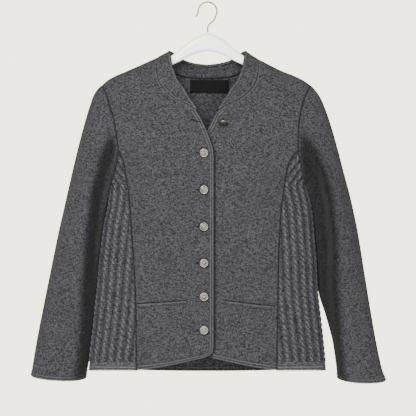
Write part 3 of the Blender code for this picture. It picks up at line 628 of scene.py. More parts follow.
def shell(name, look, grid, closed=False):
    # A closed cloth wall around one grid; a closed grid repeats its first column as its last.
    bm = startMesh()
    outer, inner, innerCloth, innerShade = skins(grid)
    layers = [addSkin(bm, outer, grid["cloth"], grid["shade"]),
              addSkin(bm, inner, innerCloth, innerShade)]
    if closed:
        seams = [row[index] for layer in layers for row in layer for index in (0, -1)]
        bmesh.ops.remove_doubles(bm, verts=seams, dist=1e-6)
        for end in (0, -1):
            rim = [vert for layer in layers for vert in layer[end] if vert.is_valid]
            closeRim(bm, rim)
    else:
        closeRim(bm, bm.verts)
    return addPiece(name, endMesh(name, bm), look)


def mark(grid):
    # Cloth coordinates in metres: along the rows and along the columns.
    sideways = reachAlong(grid, 1)[0]
    upwards = reachAlong(grid, 0)[0]
    return np.stack([sideways, upwards], axis=-1)


def clothGrid(points, normals, relief, shade, wall, **more):
    return {"points": points, "normals": normals, "relief": relief,
            "shade": np.clip(shade, -1, 1), "wall": wall, "cloth": mark(points), **more}


# Thread: stitches and edge finishing as many short lines in one piece

def threads(name, look, paths, radius, sides=0):
    curve = bpy.data.curves.new(name, "CURVE")
    curve.dimensions = "3D"
    curve.bevel_depth = radius
    curve.bevel_resolution = sides
    curve.use_fill_caps = True
    for path in paths:
        spline = curve.splines.new("POLY")
        spline.points.add(len(path) - 1)
        places = np.ones((len(path), 4))
        places[:, :3] = path
        spline.points.foreach_set("co", places.ravel())
        spline.use_smooth = True
    holder = bpy.data.objects.new(name + "_line", curve)
    mesh = bpy.data.meshes.new_from_object(holder)
    mesh.name = name
    bpy.data.objects.remove(holder)
    mesh.shade_smooth()
    return addPiece(name, mesh, look)


def alongRim(grid, rim, gap, rows=slice(None)):
    # Points, surface normals and the direction towards the edge, at a distance from a rim.
    points, normals = grid["points"], grid["normals"]
    if rim in ("foot", "head"):
        points, normals = points.swapaxes(0, 1), normals.swapaxes(0, 1)
    if rim in ("end", "head"):
        points, normals = points[:, ::-1], normals[:, ::-1]
    points, normals = points[rows], normals[rows]
    away = reachAlong(points, 1)[0]
    found = []
    for line, normal, distance in zip(points, normals, away):
        for values in (line, normal):
            found.append([np.interp(gap, distance, column) for column in values.T])
    found = np.array(found).reshape(-1, 2, 3)
    outwards = unit(points[:, 0] - found[:, 0]) if gap > 0 else unit(points[:, 0] - points[:, 2])
    return found[:, 0], unit(found[:, 1]), outwards


def resample(line, others, pitch, offset=0.0):
    # Even stations along a line, with the other arrays read there too.
    length = lengthAlong(line)
    at = np.arange(offset, length[-1], pitch)
    return [np.stack([np.interp(at, length, column) for column in values.T], axis=-1)
            for values in (line, *others)]


def stitches(line, normals, height, pitch=3.1 * mm, share=0.72, dip=0.5 * mm, lift=0.16 * mm):
    # Short raised lengths of thread that dive into the cloth at both ends.
    steps = 8
    fine = resample(line, (normals,), pitch / steps)
    spot, up = fine[0], unit(fine[1])
    ends = np.array([0, 1, int(steps * share) - 1, int(steps * share)])
    picks = np.arange(0, len(spot) - steps, steps)[:, None] + ends
    lifts = np.array([height - dip, height + lift, height + lift, height - dip])
    return list(spot[picks] + up[picks] * lifts[:, None])


def overlock(grid, rim, rows=slice(None), pitch=2.7 * mm, reach=2.4 * mm, slant=0.9 * mm):
    # Loops of yarn that wrap a free edge.
    edge, normals, outwards = alongRim(grid, rim, 0.0, rows)
    inner, _, _ = alongRim(grid, rim, reach, rows)
    half = grid["wall"] / 2 + 0.25 * mm
    place, up, out, base = resample(edge, (normals, outwards, inner), pitch, pitch / 2)
    lean = unit(np.gradient(place, axis=0)) * slant
    turn = place + out * 0.75 * mm
    loops = [base + up * (half + 0.15 * mm) + lean, place + up * half + lean * 0.5,
             turn + up * half * 0.45, turn - up * half * 0.45,
             place - up * half - lean * 0.5, base - up * half - lean]
    return list(np.stack(loops, axis=1))


def topstitch(grid, rim, gaps, rows=slice(None)):
    paths = []
    for gap in gaps:
        line, normals, _ = alongRim(grid, rim, gap, rows)
        paths += stitches(line, normals, grid["wall"] / 2 - 0.05 * mm)
    return paths


# The fronts

def frontNeck(side):
    neck = walk(neckline, 1 - bodyRows["crown"], mirror=side)
    neck[-1, 1] = read(shoulder, "drop", neck[-1, 0], by="across")
    return neck


pockets = {
    right: {"start": (-136, 589), "end": (-40, 582.5)},
    left: {"start": (34, 583), "end": (131, 594)},
}


# A pocket's slit: a groove with painted shadow along it
slit = {"width": 1.5 * mm, "depth": 0.9 * mm, "dark": 0.95}


def slitGap(flat, side):
    # Distance from a pocket's slit, for points given by across and drop.
    start = np.array(pockets[side]["start"]) * mm
    end = np.array(pockets[side]["end"]) * mm
    line = end - start
    share = np.clip(np.sum((flat - start) * line, axis=-1) / (line @ line), 0, 1)
    return np.linalg.norm(flat - start - share[..., None] * line, axis=-1)


# Small creases on top of the long folds: ends, half width, height
bodyCreases = {
    front: [
        ((-150, 262), (-112, 322), 9, 1.0), ((-160, 232), (-128, 262), 8, -0.9),
        ((150, 250), (118, 318), 9, 1.1), ((164, 226), (132, 252), 8, -0.9),
        ((-84, 214), (-48, 262), 10, 0.8), ((70, 222), (42, 300), 11, 0.9),
        ((16, 330), (40, 352), 8, 0.5), ((14, 470), (44, 492), 8, 0.5),
        ((-34, 398), (-58, 420), 9, 0.5), ((-32, 540), (-62, 552), 9, 0.5),
        ((-122, 600), (-118, 700), 12, 0.9), ((112, 610), (118, 702), 12, 0.9),
        ((20, 600), (34, 690), 10, -0.7),
    ],
    back: [
        ((-148, 252), (-96, 300), 10, 1.2), ((150, 246), (104, 304), 10, 1.2),
        ((-60, 176), (-20, 186), 12, -0.8), ((62, 176), (24, 188), 12, -0.8),
        ((-118, 470), (-84, 540), 12, 0.9), ((120, 500), (92, 560), 12, 0.9),
    ],
}


def creaseHeight(flat, lines):
    total = np.zeros(flat.shape[:-1])
    for start, end, width, height in lines:
        start, end = np.array(start) * mm, np.array(end) * mm
        line = end - start
        share = np.sum((flat - start) * line, axis=-1) / (line @ line)
        near = np.linalg.norm(flat - start - np.clip(share, 0, 1)[..., None] * line, axis=-1)
        fade = ease(-0.1, 0.3, share) * (1 - ease(0.7, 1.1, share))
        total += height * mm * fade * hump(near, width * mm)
    return total


frontPiece = {
    "coarse": 2.4 * mm, "fine": 0.8 * mm, "width": 158 * mm,
    "zones": {right: [(0, 27 * mm)], left: [(0, 12 * mm), (29 * mm, 41 * mm)]},
}
buttonDrops = (294.5, 366.2, 438.2, 509.3, 575.3, 640.2)
buttonRadius = 8.3 * mm
# How dark each painted shadow is, and from where to where it fades, beside the place it starts
# from
dentsAndShadows = {
    "button": 0.7, "buttonGap": 0.7 * mm, "buttonWidth": 1.5 * mm, "depth": 0.5 * mm,
    "edge": 0.85, "edgeStart": (-3 * mm, -1 * mm), "edgeEnd": (2.6 * mm, 6.5 * mm),
    "edgeDrop": (248 * mm, 264 * mm), "hanging": 0.6, "hangingAt": (29.8 * mm, 238 * mm),
    "hangingEnd": (5 * mm, 11 * mm),
}


def lapDentAndShadow(flat, side):
    # The right front is dented round its buttons, with painted shadow round each. The left one
    # has painted shadow of the right one beside its edge, and of the hanging button.
    across, drop = flat[..., 0], flat[..., 1]
    if side == right:
        gaps = [np.hypot(across - form["buttonLine"], drop - place * mm) for place in buttonDrops]
        outside = np.min(gaps, axis=0) - buttonRadius
        return dentsAndShadows["button"] * hump(outside - dentsAndShadows["buttonGap"], dentsAndShadows["buttonWidth"])
    edge = frontEdge[right]
    away = across - np.interp(drop, edge["drop"][::-1], edge["across"][::-1])
    shadow = (1 - ease(*dentsAndShadows["edgeEnd"], away)) * ease(*dentsAndShadows["edgeStart"], away)
    shadow *= ease(*dentsAndShadows["edgeDrop"], drop)
    under = np.linalg.norm(flat - np.array(dentsAndShadows["hangingAt"]), axis=-1)
    return dentsAndShadows["edge"] * shadow + dentsAndShadows["hanging"] * (1 - ease(*dentsAndShadows["hangingEnd"], under))


def frontGrid(side):
    share = paces(frontPiece["width"], frontPiece["coarse"], frontPiece["fine"],
                  frontPiece["zones"][side] + [(frontPiece["width"] - 4 * mm, 1)])
    edge = walk(frontEdge[side], bodyRows["length"])
    edge[-1, 0] = neckline["across"][0] * side
    start = np.concatenate([edge, frontNeck(side)])
    end = sideCurve(side)
    hemAcross = start[0, 0] + (end[0, 0] - start[0, 0]) * share
    hemDrop = read(frontHem, "drop", hemAcross * side, by="across")
    hemDrop[0], hemDrop[-1] = start[0, 1], end[0, 1]
    topAcross = start[-1, 0] + (end[-1, 0] - start[-1, 0]) * share
    top = np.stack([topAcross, read(shoulder, "drop", topAcross, by="across")], axis=-1)
    flat = patch(np.stack([hemAcross, hemDrop], axis=-1), top, start, end, share, bodyRows["up"])
    points = frontPoint(flat[..., 0], flat[..., 1], side)
    normals = bodyNormals(points, front)
    fromEdge, fromSide = reachAlong(points, 1)
    fromHem, fromTop = reachAlong(points, 0)
    lower = (np.arange(len(points)) < len(bodyRows["length"]))[:, None]
    gap = slitGap(flat, side)
    relief = np.where(lower, rimRelief(fromEdge), neckRelief(fromEdge))
    relief = np.where(fromHem < fromEdge, rimRelief(fromHem), relief)
    relief += seamRelief(fromSide) + seamRelief(fromTop)
    relief -= slit["depth"] * hump(gap, slit["width"])
    relief += creaseHeight(flat, bodyCreases[front])
    shade = np.where(lower, rimShade(fromEdge), neckShade(fromEdge))
    shade = np.where(fromHem < fromEdge, rimShade(fromHem), shade)
    shade = shade + seamShade(fromSide) + seamShade(fromTop) * 0.6
    # Painted shadow round the buttons, beside the right front's edge and under the hanging button,
    # over a shallow dent
    dentDepthAndShadow = lapDentAndShadow(flat, side)
    relief -= dentsAndShadows["depth"] * dentDepthAndShadow
    # Painted shadow along the pocket's slit
    shade = shade + slit["dark"] * hump(gap, slit["width"])
    shade = np.where(dentDepthAndShadow > 0.02, np.maximum(shade, dentDepthAndShadow), shade)
    return clothGrid(points, normals, relief, shade, form["wall"], flat=flat)


body = {"front": {side: frontGrid(side) for side in (right, left)}}
print("fronts laid out")


# The back

backPiece = {"coarse": 2.9 * mm, "shoulder": 36, "neck": 74}


def backGrid():
    start, end = sideCurve(right), sideCurve(left)
    neckRight, neckLeft = backNeck["across"][0], backNeck["across"][-1]
    shoulderRight = np.linspace(start[-1, 0], neckRight, backPiece["shoulder"] + 1)
    shoulderLeft = np.linspace(neckLeft, end[-1, 0], backPiece["shoulder"] + 1)
    neck = neckLeft * -np.cos(np.linspace(0, np.pi, backPiece["neck"] + 1))
    across = np.concatenate([shoulderRight[:-1], neck, shoulderLeft[1:]])
    share = (across - across[0]) / (across[-1] - across[0])
    inNeck = (across > neckRight) & (across < neckLeft)
    drop = np.where(inNeck, read(backNeck, "drop", across, by="across"),
                    read(shoulder, "drop", across, by="across"))
    hemAcross = start[0, 0] + (end[0, 0] - start[0, 0]) * share
    belly = np.sin(np.pi * share) ** 0.5
    hemDrop = form["sideHem"] + (form["backHem"] - form["sideHem"]) * belly
    flat = patch(np.stack([hemAcross, hemDrop], axis=-1), np.stack([across, drop], axis=-1),
                 start, end, share, bodyRows["up"])
    points = bodyPoint(flat[..., 0], flat[..., 1], back)
    normals = bodyNormals(points, back)
    fromRight, fromLeft = reachAlong(points, 1)
    fromHem, fromTop = reachAlong(points, 0)
    relief = rimRelief(fromHem) + seamRelief(fromRight) + seamRelief(fromLeft)
    relief += seamRelief(fromTop) + creaseHeight(flat, bodyCreases[back])
    shade = rimShade(fromHem) + seamShade(fromRight) + seamShade(fromLeft)
    shade += seamShade(fromTop) * 0.6
    return clothGrid(points, normals, relief, shade, form["wall"])


body["back"] = backGrid()
print("back laid out")


# The cable-knit side panels

cable = {
    "pitch": 16 * mm, "twist": 11.5 * mm, "strand": 3.0 * mm, "slant": 5.2 * mm,
    "swing": 2.9 * mm, "height": 2.8 * mm, "hemBand": 14 * mm, "rows": 1.5 * mm,
    "columns": 1.4 * mm, "halfWidth": 102 * mm, "samples": 420,
    # The sleeve lies on the panel beside the side line, down to about the elbow.
    "pressedArc": 14 * mm, "pressedDrop": (540 * mm, 600 * mm), "pressed": 0.6,
}
ringStore = {}


def ringAt(side, drop, face):
    # Arc length from the side line, with across and depth, around the body's section.
    key = (side, face, round(float(drop) * 1e7))
    if key not in ringStore:
        angle = np.linspace(0, math.pi / 2, cable["samples"]) ** 1.3 / (math.pi / 2) ** 0.3
        across = side * read(outline, words[side], drop) * np.cos(angle) ** (2 / form["round"])
        deep = np.where(angle > 0, depthAt(across, np.full_like(across, drop), face), 0.0)
        ringStore[key] = (lengthAlong(np.stack([across, deep], axis=-1)), across, deep)
    return ringStore[key]


def ringPlace(side, drop, arc):
    found = {face: ringAt(side, drop, face) for face in (front, back)}
    across = np.where(arc < 0, np.interp(-arc, found[front][0], found[front][1]),
                      np.interp(arc, found[back][0], found[back][1]))
    deep = np.where(arc < 0, -np.interp(-arc, found[front][0], found[front][2]),
                    np.interp(arc, found[back][0], found[back][2]))
    return np.stack([across, deep, np.full_like(across, -drop)], axis=-1)


def ringNormal(side, drop, arc, nudge=1.5 * mm):
    around = ringPlace(side, drop, arc + nudge) - ringPlace(side, drop, arc - nudge)
    down = ringPlace(side, drop + nudge, arc) - ringPlace(side, drop - nudge, arc)
    normal = unit(np.cross(around, down))
    outwards = np.sum(normal[:, :2] * ringPlace(side, drop, arc)[:, :2], axis=-1, keepdims=True)
    return normal * np.where(outwards < 0, -1.0, 1.0)


def panelLimits(side, drop, face):
    def arcOf(across):
        length, reached, _ = ringAt(side, drop, face)
        return float(np.interp(-abs(across), -np.abs(reached), length))

    high = arcOf(read(sideSeam, words[side], drop))
    low = 0.0
    if drop < armhole["drop"][-1] - 0.1 * mm:
        low = arcOf(read(armhole, words[side], drop))
    return low, max(high, low)


def cableHeight(sideways, down):
    # Two strands that pass over each other in turn; each leans down to the viewer's right.
    column = np.floor(sideways / cable["pitch"])
    x = (sideways / cable["pitch"] - column - 0.5) * cable["pitch"]
    beat = down / cable["twist"] + 0.5 * (column % 2) + 0.13 * np.sin(column * 2.4)
    first = np.floor(beat)
    best = np.zeros(np.broadcast(x, beat).shape)
    for number in (-1, 0, 1, 2):
        part = beat - (first + number)
        inside = np.clip(1 - np.abs(part), 0, 1)
        centre = np.clip(cable["slant"] * part, -cable["swing"], cable["swing"])
        over = np.sin(inside * math.pi / 2) ** 2.2
        bulge = np.sqrt(np.clip(1 - ((x - centre) / cable["strand"]) ** 2, 0, 1))
        best = np.maximum(best, over * bulge)
    return best


def cableShade(sideways, raised):
    # Painted shade between the strands and in a line between two columns, painted highlight on the
    # strands' crests.
    x = sideways / cable["pitch"]
    between = hump((x - np.round(x)) * cable["pitch"], 1.3 * mm)
    return 0.5 * (1 - raised) ** 1.4 - 0.26 * raised ** 2 + 0.3 * between


def panelHalf(side, face):
    drops = form["sideHem"] - paces(429 * mm, cable["rows"], 0.8 * mm, [(0, 14 * mm)]) * (
        form["sideHem"] - sideSeam["drop"][0])
    share = paces(cable["halfWidth"], cable["columns"], 0.8 * mm,
                  [(cable["halfWidth"] - 3 * mm, 1)])
    points, normals, relief, shade, cloth = [], [], [], [], []
    for drop in drops:
        low, high = panelLimits(side, drop, face)
        arc = low + (high - low) * share
        points.append(ringPlace(side, drop, face * arc))
        normals.append(ringNormal(side, drop, face * arc))
        sideways = arc * face * (-1 if side == right else 1)
        aboveHem = form["sideHem"] - drop
        gap = np.minimum(high - arc, np.where(low > 0, arc - low, 1.0))
        keep = ease(0.6 * mm, 3.0 * mm, gap) * ease(cable["hemBand"], cable["hemBand"] + 4 * mm,
                                                    aboveHem)
        flat = (1 - ease(0, cable["pressedArc"], arc)) * (1 - ease(*cable["pressedDrop"], drop))
        raised = cableHeight(sideways, drop) * keep * (1 - cable["pressed"] * flat)
        relief.append(cable["height"] * raised + rimRelief(np.full_like(arc, aboveHem))
                      + seamRelief(gap))
        shade.append(np.clip(cableShade(sideways, raised) * keep + seamShade(gap)
                             + rimShade(np.full_like(arc, aboveHem)), -1, 1))
        cloth.append(np.stack([sideways, np.full_like(arc, aboveHem)], axis=-1))
    return {"points": np.array(points), "normals": np.array(normals),
            "relief": np.array(relief), "shade": np.array(shade), "cloth": np.array(cloth),
            "wall": form["wall"]}


def sidePanel(side):
    name = "cable_panel_" + words[side]
    bm = startMesh()
    halves = [panelHalf(side, face) for face in (front, back)]
    layers = {"outer": [], "inner": []}
    for grid in halves:
        outer, inner, innerCloth, innerShade = skins(grid)
        for key, skin, cloth, shade in (("outer", outer, grid["cloth"], grid["shade"]),
                                        ("inner", inner, innerCloth, innerShade)):
            rows = addSkin(bm, skin, cloth, shade)
            layers[key] += [row[0] for row in rows] + rows[-1][1:]
    for verts in layers.values():
        bmesh.ops.remove_doubles(bm, verts=verts, dist=2e-5)
    closeRim(bm, bm.verts)
    return addPiece(name, endMesh(name, bm), "cable"), halves


# The sleeves

sleevePiece = {
    "columns": 74, "coarse": 2.5 * mm, "fine": 0.8 * mm, "length": 600 * mm, "girth": 310 * mm,
    "outwards": 0.24, "inwards": 0.75,
}

# Creases on a sleeve: share down it, angle round it (0 outside, 90 front, 180 inside)
sleeveCreases = {
    right: [
        ((0.03, 118), (0.20, 150), 7, 1.6), ((0.05, 60), (0.16, 100), 8, -1.3),
        ((0.02, 145), (0.12, 172), 6, -1.6), ((0.30, 70), (0.40, 128), 9, -1.4),
        ((0.36, 60), (0.47, 120), 9, 1.3), ((0.46, 78), (0.55, 136), 8, -1.2),
        ((0.62, 96), (0.72, 132), 9, 1.0), ((0.80, 50), (0.96, 70), 10, 0.9),
        ((0.30, 228), (0.44, 268), 10, 1.6), ((0.42, 232), (0.54, 276), 10, -1.6),
        ((0.08, 214), (0.22, 250), 9, 1.6), ((0.66, 250), (0.80, 284), 11, 1.3),
    ],
    left: [
        ((0.03, 116), (0.17, 150), 7, 1.7), ((0.06, 58), (0.18, 96), 8, -1.3),
        ((0.02, 148), (0.13, 170), 6, -1.7), ((0.28, 84), (0.40, 140), 8, -1.5),
        ((0.35, 74), (0.46, 128), 9, 1.4), ((0.50, 84), (0.60, 140), 8, -1.2),
        ((0.68, 92), (0.78, 130), 9, 1.0), ((0.82, 52), (0.97, 74), 10, 0.9),
        ((0.28, 226), (0.42, 270), 10, 1.7), ((0.40, 236), (0.52, 280), 10, -1.5),
        ((0.09, 212), (0.23, 252), 9, 1.6), ((0.64, 246), (0.78, 286), 11, 1.2),
    ],
}


def armholeLoop(side):
    top, tip, pit = armhole["drop"][0], sideSeam["drop"][0], armhole["drop"][-1]
    upper = top + (tip - top) * (1 - np.cos(np.linspace(0, math.pi / 2, 48)))
    lower = tip + (pit - tip) * np.sin(np.linspace(0, math.pi / 2, 27)[1:])
    drops = np.concatenate([upper, lower])
    across = side * read(armhole, words[side], drops)
    halves = []
    for face in (front, back):
        points = bodyPoint(across, drops, face)
        points[0, 1] = 0.0
        points[-1, 1] = 0.0
        lap = ease(0.0, 0.5, (drops - tip) / (pit - tip)) * form["sleeveLap"]
        reach = read(depths, "front" if face == front else "back", drops)
        wide = read(outline, words[side], drops)
        power = form["round"] - 1
        lean = np.stack([side * (np.abs(across) / wide) ** power / wide,
                         face * (np.abs(points[:, 1]) / reach) ** power / reach,
                         np.zeros_like(drops)], axis=-1)
        halves.append(points + unit(lean) * lap[:, None])
    loop = np.concatenate([halves[0], halves[1][-2::-1]])
    paced = lengthAlong(halves[0])
    angles = np.pi * paced / paced[-1]
    angles = np.concatenate([angles, 2 * np.pi - angles[-2::-1]])
    even = np.linspace(0, 2 * np.pi, 2 * sleevePiece["columns"] + 1)
    loop = np.stack([np.interp(even, angles, column) for column in loop.T], axis=-1)
    return loop, even


def sleeveRing(side, measures, share, angles):
    by = np.linspace(0, 1, len(measures["outer"]))
    value = {name: float(through(np.array(share), by, column))
             for name, column in measures.items()}
    outer = np.array([side * value["outer"], 0, -value["outerDrop"]])
    inner = np.array([side * value["inner"], 0, -value["innerDrop"]])
    along, across = np.cos(angles), np.sin(angles)
    deep = np.abs(across) ** form["sleeveRound"]
    offset = along - value["crease"]
    width = np.where(offset < 0, sleevePiece["outwards"], sleevePiece["inwards"])
    ridge = value["ridge"] * np.exp(-(np.abs(offset) / width) ** 1.5) * deep
    sunk = form["sleeveSink"] * value["ridge"] * ease(0.0, form["sinkWidth"], -offset)
    before = -(value["front"] * (1 - sunk) * deep + ridge)
    points = (outer + inner) / 2 + (outer - inner) / 2 * along[:, None]
    points[:, 1] = np.where(across > 0, before, value["back"] * deep)
    points[:, 1] += form["sleeveLean"] * ease(0.0, form["armholeHold"], share) * (1 - along) / 2
    points[:, 2] -= form["cuffBow"] * ease(0.75, 1.0, share) * np.abs(across)
    return points


# Painted shade beside the front crease and from there on to the inner edge: how dark it is and
# where it changes, in shares of half the sleeve's width; its start across and down the sleeve
creaseShadeSpans = {
    right: (0.94, 0.45, 0.12, 0.50), left: (0.92, 0.86, 0.30, 0.65),
    "across": (-0.42, -0.02), "down": (-0.02, 0.15), "round": (0.0, 0.3),
}


def paintedCreaseShade(side, measures, share, angles):
    by = np.linspace(0, 1, len(measures["outer"]))
    crease = float(through(np.array(share), by, measures["crease"]))
    offset = crease - np.cos(angles)
    beside, onwards, first, last = creaseShadeSpans[side]
    dark = ease(*creaseShadeSpans["across"], offset)
    dark *= beside + (onwards - beside) * ease(first, last, offset)
    return dark * ease(*creaseShadeSpans["down"], share) * ease(*creaseShadeSpans["round"], np.sin(angles))


def sleeve(side):
    measures = {name: column.copy() for name, column in sleeveTable[side].items()}
    measures["crease"] = measures["crease"] / (1000 * mm)
    loop, angles = armholeLoop(side)
    length = sleevePiece["length"]
    shares = 1 - paces(length, sleevePiece["coarse"], sleevePiece["fine"],
                       [(0, 12 * mm), (length - 5 * mm, 1)])[::-1]
    bend = loop - sleeveRing(side, measures, 0.0, angles)
    points = np.array([sleeveRing(side, measures, share, angles)
                       + bend * (1 - ease(0.0, form["armholeHold"], share))
                       for share in shares])
    normals = sheetNormals(points, points - points.mean(axis=1, keepdims=True), closed=True)
    fromTop, fromCuff = reachAlong(points, 0)
    girth = sleevePiece["girth"]
    unrolled = np.stack(np.broadcast_arrays(angles[None, :] / (2 * np.pi) * girth,
                                            shares[:, None] * length), axis=-1)
    lines = [[(angle / 360 * girth / mm, share * length / mm) for share, angle in ends]
             + [width, height] for *ends, width, height in sleeveCreases[side]]
    relief = rimRelief(fromCuff) + seamRelief(fromTop) + creaseHeight(unrolled, lines)
    shade = np.array([paintedCreaseShade(side, measures, share, angles) for share in shares])
    shade += rimShade(fromCuff) + seamShade(fromTop) * 0.8
    relief[:, -1], shade[:, -1] = relief[:, 0], shade[:, 0]
    grid = clothGrid(points, normals, relief, shade, form["wall"])
    name = "sleeve_cloth_" + words[side]
    return shell(name, "felt", grid, closed=True), grid


# The stand collar

collarPiece = {"front": 72, "back": 60, "up": 30}


def collarGrid():
    lines = []
    up = np.linspace(0, 1, collarPiece["up"] + 1)[None, :, None]
    for side in (right, left):
        share = np.sin(np.linspace(0, math.pi / 2, collarPiece["front"] + 1))
        flat = walk(neckline, share, mirror=side)
        flat[-1, 1] = read(shoulder, "drop", flat[-1, 0], by="across")
        seam = bodyPoint(flat[:, 0], flat[:, 1], front)
        seam[-1, 1] = 0.0
        flat = walk(collarEdge, share, mirror=side)
        edge = bodyPoint(flat[:, 0], flat[:, 1], front)
        edge[-1, 1] = 0.0
        end = backNeck["across"][0 if side == right else -1]
        behind = end * np.cos(np.linspace(0, math.pi / 2, collarPiece["back"] + 1)[1:])
        backSeam = bodyPoint(behind, read(backNeck, "drop", behind, by="across"), back)
        paced = np.linalg.norm(np.diff(np.concatenate([seam[-1:], backSeam]), axis=0), axis=1)
        across, drop, deep = walk(collarBack, np.cumsum(paced) / paced.sum(), mirror=side).T
        seam = np.concatenate([seam, backSeam])
        edge = np.concatenate([edge, np.stack([across, deep, -drop], axis=-1)])
        lines.append(seam[:, None] * (1 - up) + edge[:, None] * up)
    points = np.concatenate([lines[0], lines[1][-2::-1]])
    away = points - points.mean(axis=(0, 1))
    away[..., 2] = 0
    normals = sheetNormals(points, away)
    points = points + unit(points[:, -1:] - points[:, :1]) * form["collarGap"] * 0.4 * (
        1 - np.linspace(0, 1, collarPiece["up"] + 1))[None, :, None]
    fromSeam, fromEdge = reachAlong(points, 1)
    fromTip = np.minimum(*reachAlong(points, 0))
    count = collarPiece["front"]
    behind = np.zeros((len(points), 1))
    behind[count:-count] = 1.0
    relief = rimRelief(fromEdge, collarGaps, 7 * mm, 0.35 * mm)
    relief += neckRelief(fromSeam) + (seamRelief(fromSeam) - neckRelief(fromSeam)) * behind
    relief += seamRelief(fromTip) * 0.5
    shade = rimShade(fromEdge, collarGaps) + neckShade(fromSeam) * (1 - behind)
    shade += seamShade(fromSeam) * 1.25 * behind
    return clothGrid(points, normals, relief, shade, form["collarWall"], inside=0.8)


# Cloth pieces, each on its solid's form


def clothPiece(piece, node):
    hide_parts(node)


for side in (right, left):
    word = words[side]
    clothPiece(shell("front_cloth_" + word, "felt", body["front"][side]), "front_" + word)
clothPiece(shell("back_cloth", "felt", body["back"]), "back")
print("fronts and back made")

panels = {}
tubes = {}
for side in (right, left):
    word = words[side]
    piece, panels[side] = sidePanel(side)
    clothPiece(piece, "side_" + word)
    print("cable panel made,", word)
    piece, tubes[side] = sleeve(side)
    clothPiece(piece, "sleeve_" + word)
    print("sleeve made,", word)

collarCloth = collarGrid()
clothPiece(shell("collar_cloth", "felt", collarCloth), "collar")
print("collar made")


# Pieces that lie flat on a panel

def laidOn(points, face, outwards, thick):
    normals = sheetNormals(points, np.array([0.0, face, 0.0]))
    points = points + normals * outwards * (form["wall"] / 2 + form["layGap"] + thick / 2)
    return points, normals * outwards


welt = {
    "height": 7.5 * mm, "thick": 1.2 * mm, "length": 150, "down": 16, "sink": 1.25 * mm,
    "crest": 1.9 * mm, "crestHighlight": 2.4 * mm, "stitchGap": 1.0 * mm,
}


def weltPiece(side):
    start, end = (np.array(pockets[side][key]) * mm for key in ("start", "end"))
    share = np.linspace(0, 1, welt["length"] + 1)[None, :]
    down = np.linspace(0, 1, welt["down"] + 1)[:, None]
    across = start[0] + (end[0] - start[0]) * share + 0 * down
    drop = start[1] + (end[1] - start[1]) * share + welt["height"] * down
    points, normals = laidOn(frontPoint(across, drop, side), front, 1, welt["thick"])
    fromTop, fromFoot = reachAlong(points, 0)
    fromEnd = np.minimum(*reachAlong(points, 1))
    # The welt swells from its slit and sinks into the front at its foot and ends.
    sunk = ease(0, 2.2 * mm, fromFoot) * ease(0, 1.6 * mm, fromEnd)
    relief = 0.3 * mm * hump(fromTop - welt["crest"], 1.6 * mm) - welt["sink"] * (1 - sunk)
    relief -= 0.35 * mm * hump(fromFoot - welt["stitchGap"], 0.8 * mm)
    # Painted shadow of the slit along the welt's top, painted highlight on its crest and painted
    # shade in the stitch groove at its foot
    shade = 0.95 * hump(fromTop, 0.8 * mm) - 0.35 * hump(fromTop - welt["crestHighlight"], 1.1 * mm)
    shade += 0.35 * hump(fromFoot - welt["stitchGap"], 0.7 * mm)
    grid = clothGrid(points, normals, relief, shade, welt["thick"])
    clothPiece(shell("welt_cloth_" + words[side], "felt", grid), "pocket_welt_" + words[side])
    return grid


welts = {side: weltPiece(side) for side in (right, left)}

labelSize = {"across": (-34, 42, 77), "drop": (150, 176, 27), "thick": 0.7 * mm}
across, drop = np.meshgrid(*(np.linspace(*labelSize[key]) * mm for key in ("across", "drop")))
points, normals = laidOn(bodyPoint(across, drop, back), back, -1, labelSize["thick"])
fromEnd = np.minimum(*reachAlong(points, 1))
# Both ends are folded under
folded = 0.28 * mm * (1 - ease(5.5 * mm, 6.5 * mm, fromEnd))
labelGrid = clothGrid(points, normals, folded, 0 * folded, labelSize["thick"])
clothPiece(shell("label_plain", "label", labelGrid), "label")
print("welts and label made")


# Thread on every edge and seam

lowerRows = slice(0, len(bodyRows["length"]))
neckRows = slice(len(bodyRows["length"]) + 1, None)
# The stitches that hold the left front's turned edge show beside the right front's
lapRow = {"across": 28 * mm, "top": 585 * mm, "foot": 694 * mm, "row": 60}
stitchThread, edgeYarn = 0.28 * mm, 0.55 * mm
for side in (right, left):
    word = words[side]
    grid = body["front"][side]
    paths = topstitch(grid, "start", stitchGaps, slice(12, lowerRows.stop))
    paths += topstitch(grid, "foot", stitchGaps, slice(12, None))
    paths += topstitch(grid, "start", (2.6 * mm,), neckRows)
    if side == left:
        across, drop = grid["flat"][..., 0], grid["flat"][..., 1]
        column = np.argmin(np.abs(across[lapRow["row"]] - lapRow["across"]))
        rows = (drop[:, column] > lapRow["top"]) & (drop[:, column] < lapRow["foot"])
        paths += stitches(grid["points"][rows, column], grid["normals"][rows, column],
                          grid["wall"] / 2 - 0.1 * mm)
    threads("front_stitches_" + word, "thread", paths, stitchThread)
    paths = overlock(grid, "start", lowerRows) + overlock(grid, "foot")
    threads("front_overlock_" + word, "felt", paths, edgeYarn, 1)

    paths = [path for half in panels[side] for path in topstitch(half, "foot", stitchGaps)]
    threads("panel_stitches_" + word, "thread", paths, stitchThread)
    paths = [path for half in panels[side] for path in overlock(half, "foot")]
    threads("panel_overlock_" + word, "felt", paths, edgeYarn, 1)

    grid = tubes[side]
    threads("cuff_stitches_" + word, "thread", topstitch(grid, "head", stitchGaps), stitchThread)
    threads("cuff_overlock_" + word, "felt", overlock(grid, "head"), edgeYarn, 1)

    grid = welts[side]
    line, normals, _ = alongRim(grid, "head", 1.2 * mm)
    threads("welt_stitches_" + word, "thread",
            stitches(line, normals, grid["wall"] / 2 - 0.1 * mm), 0.26 * mm)

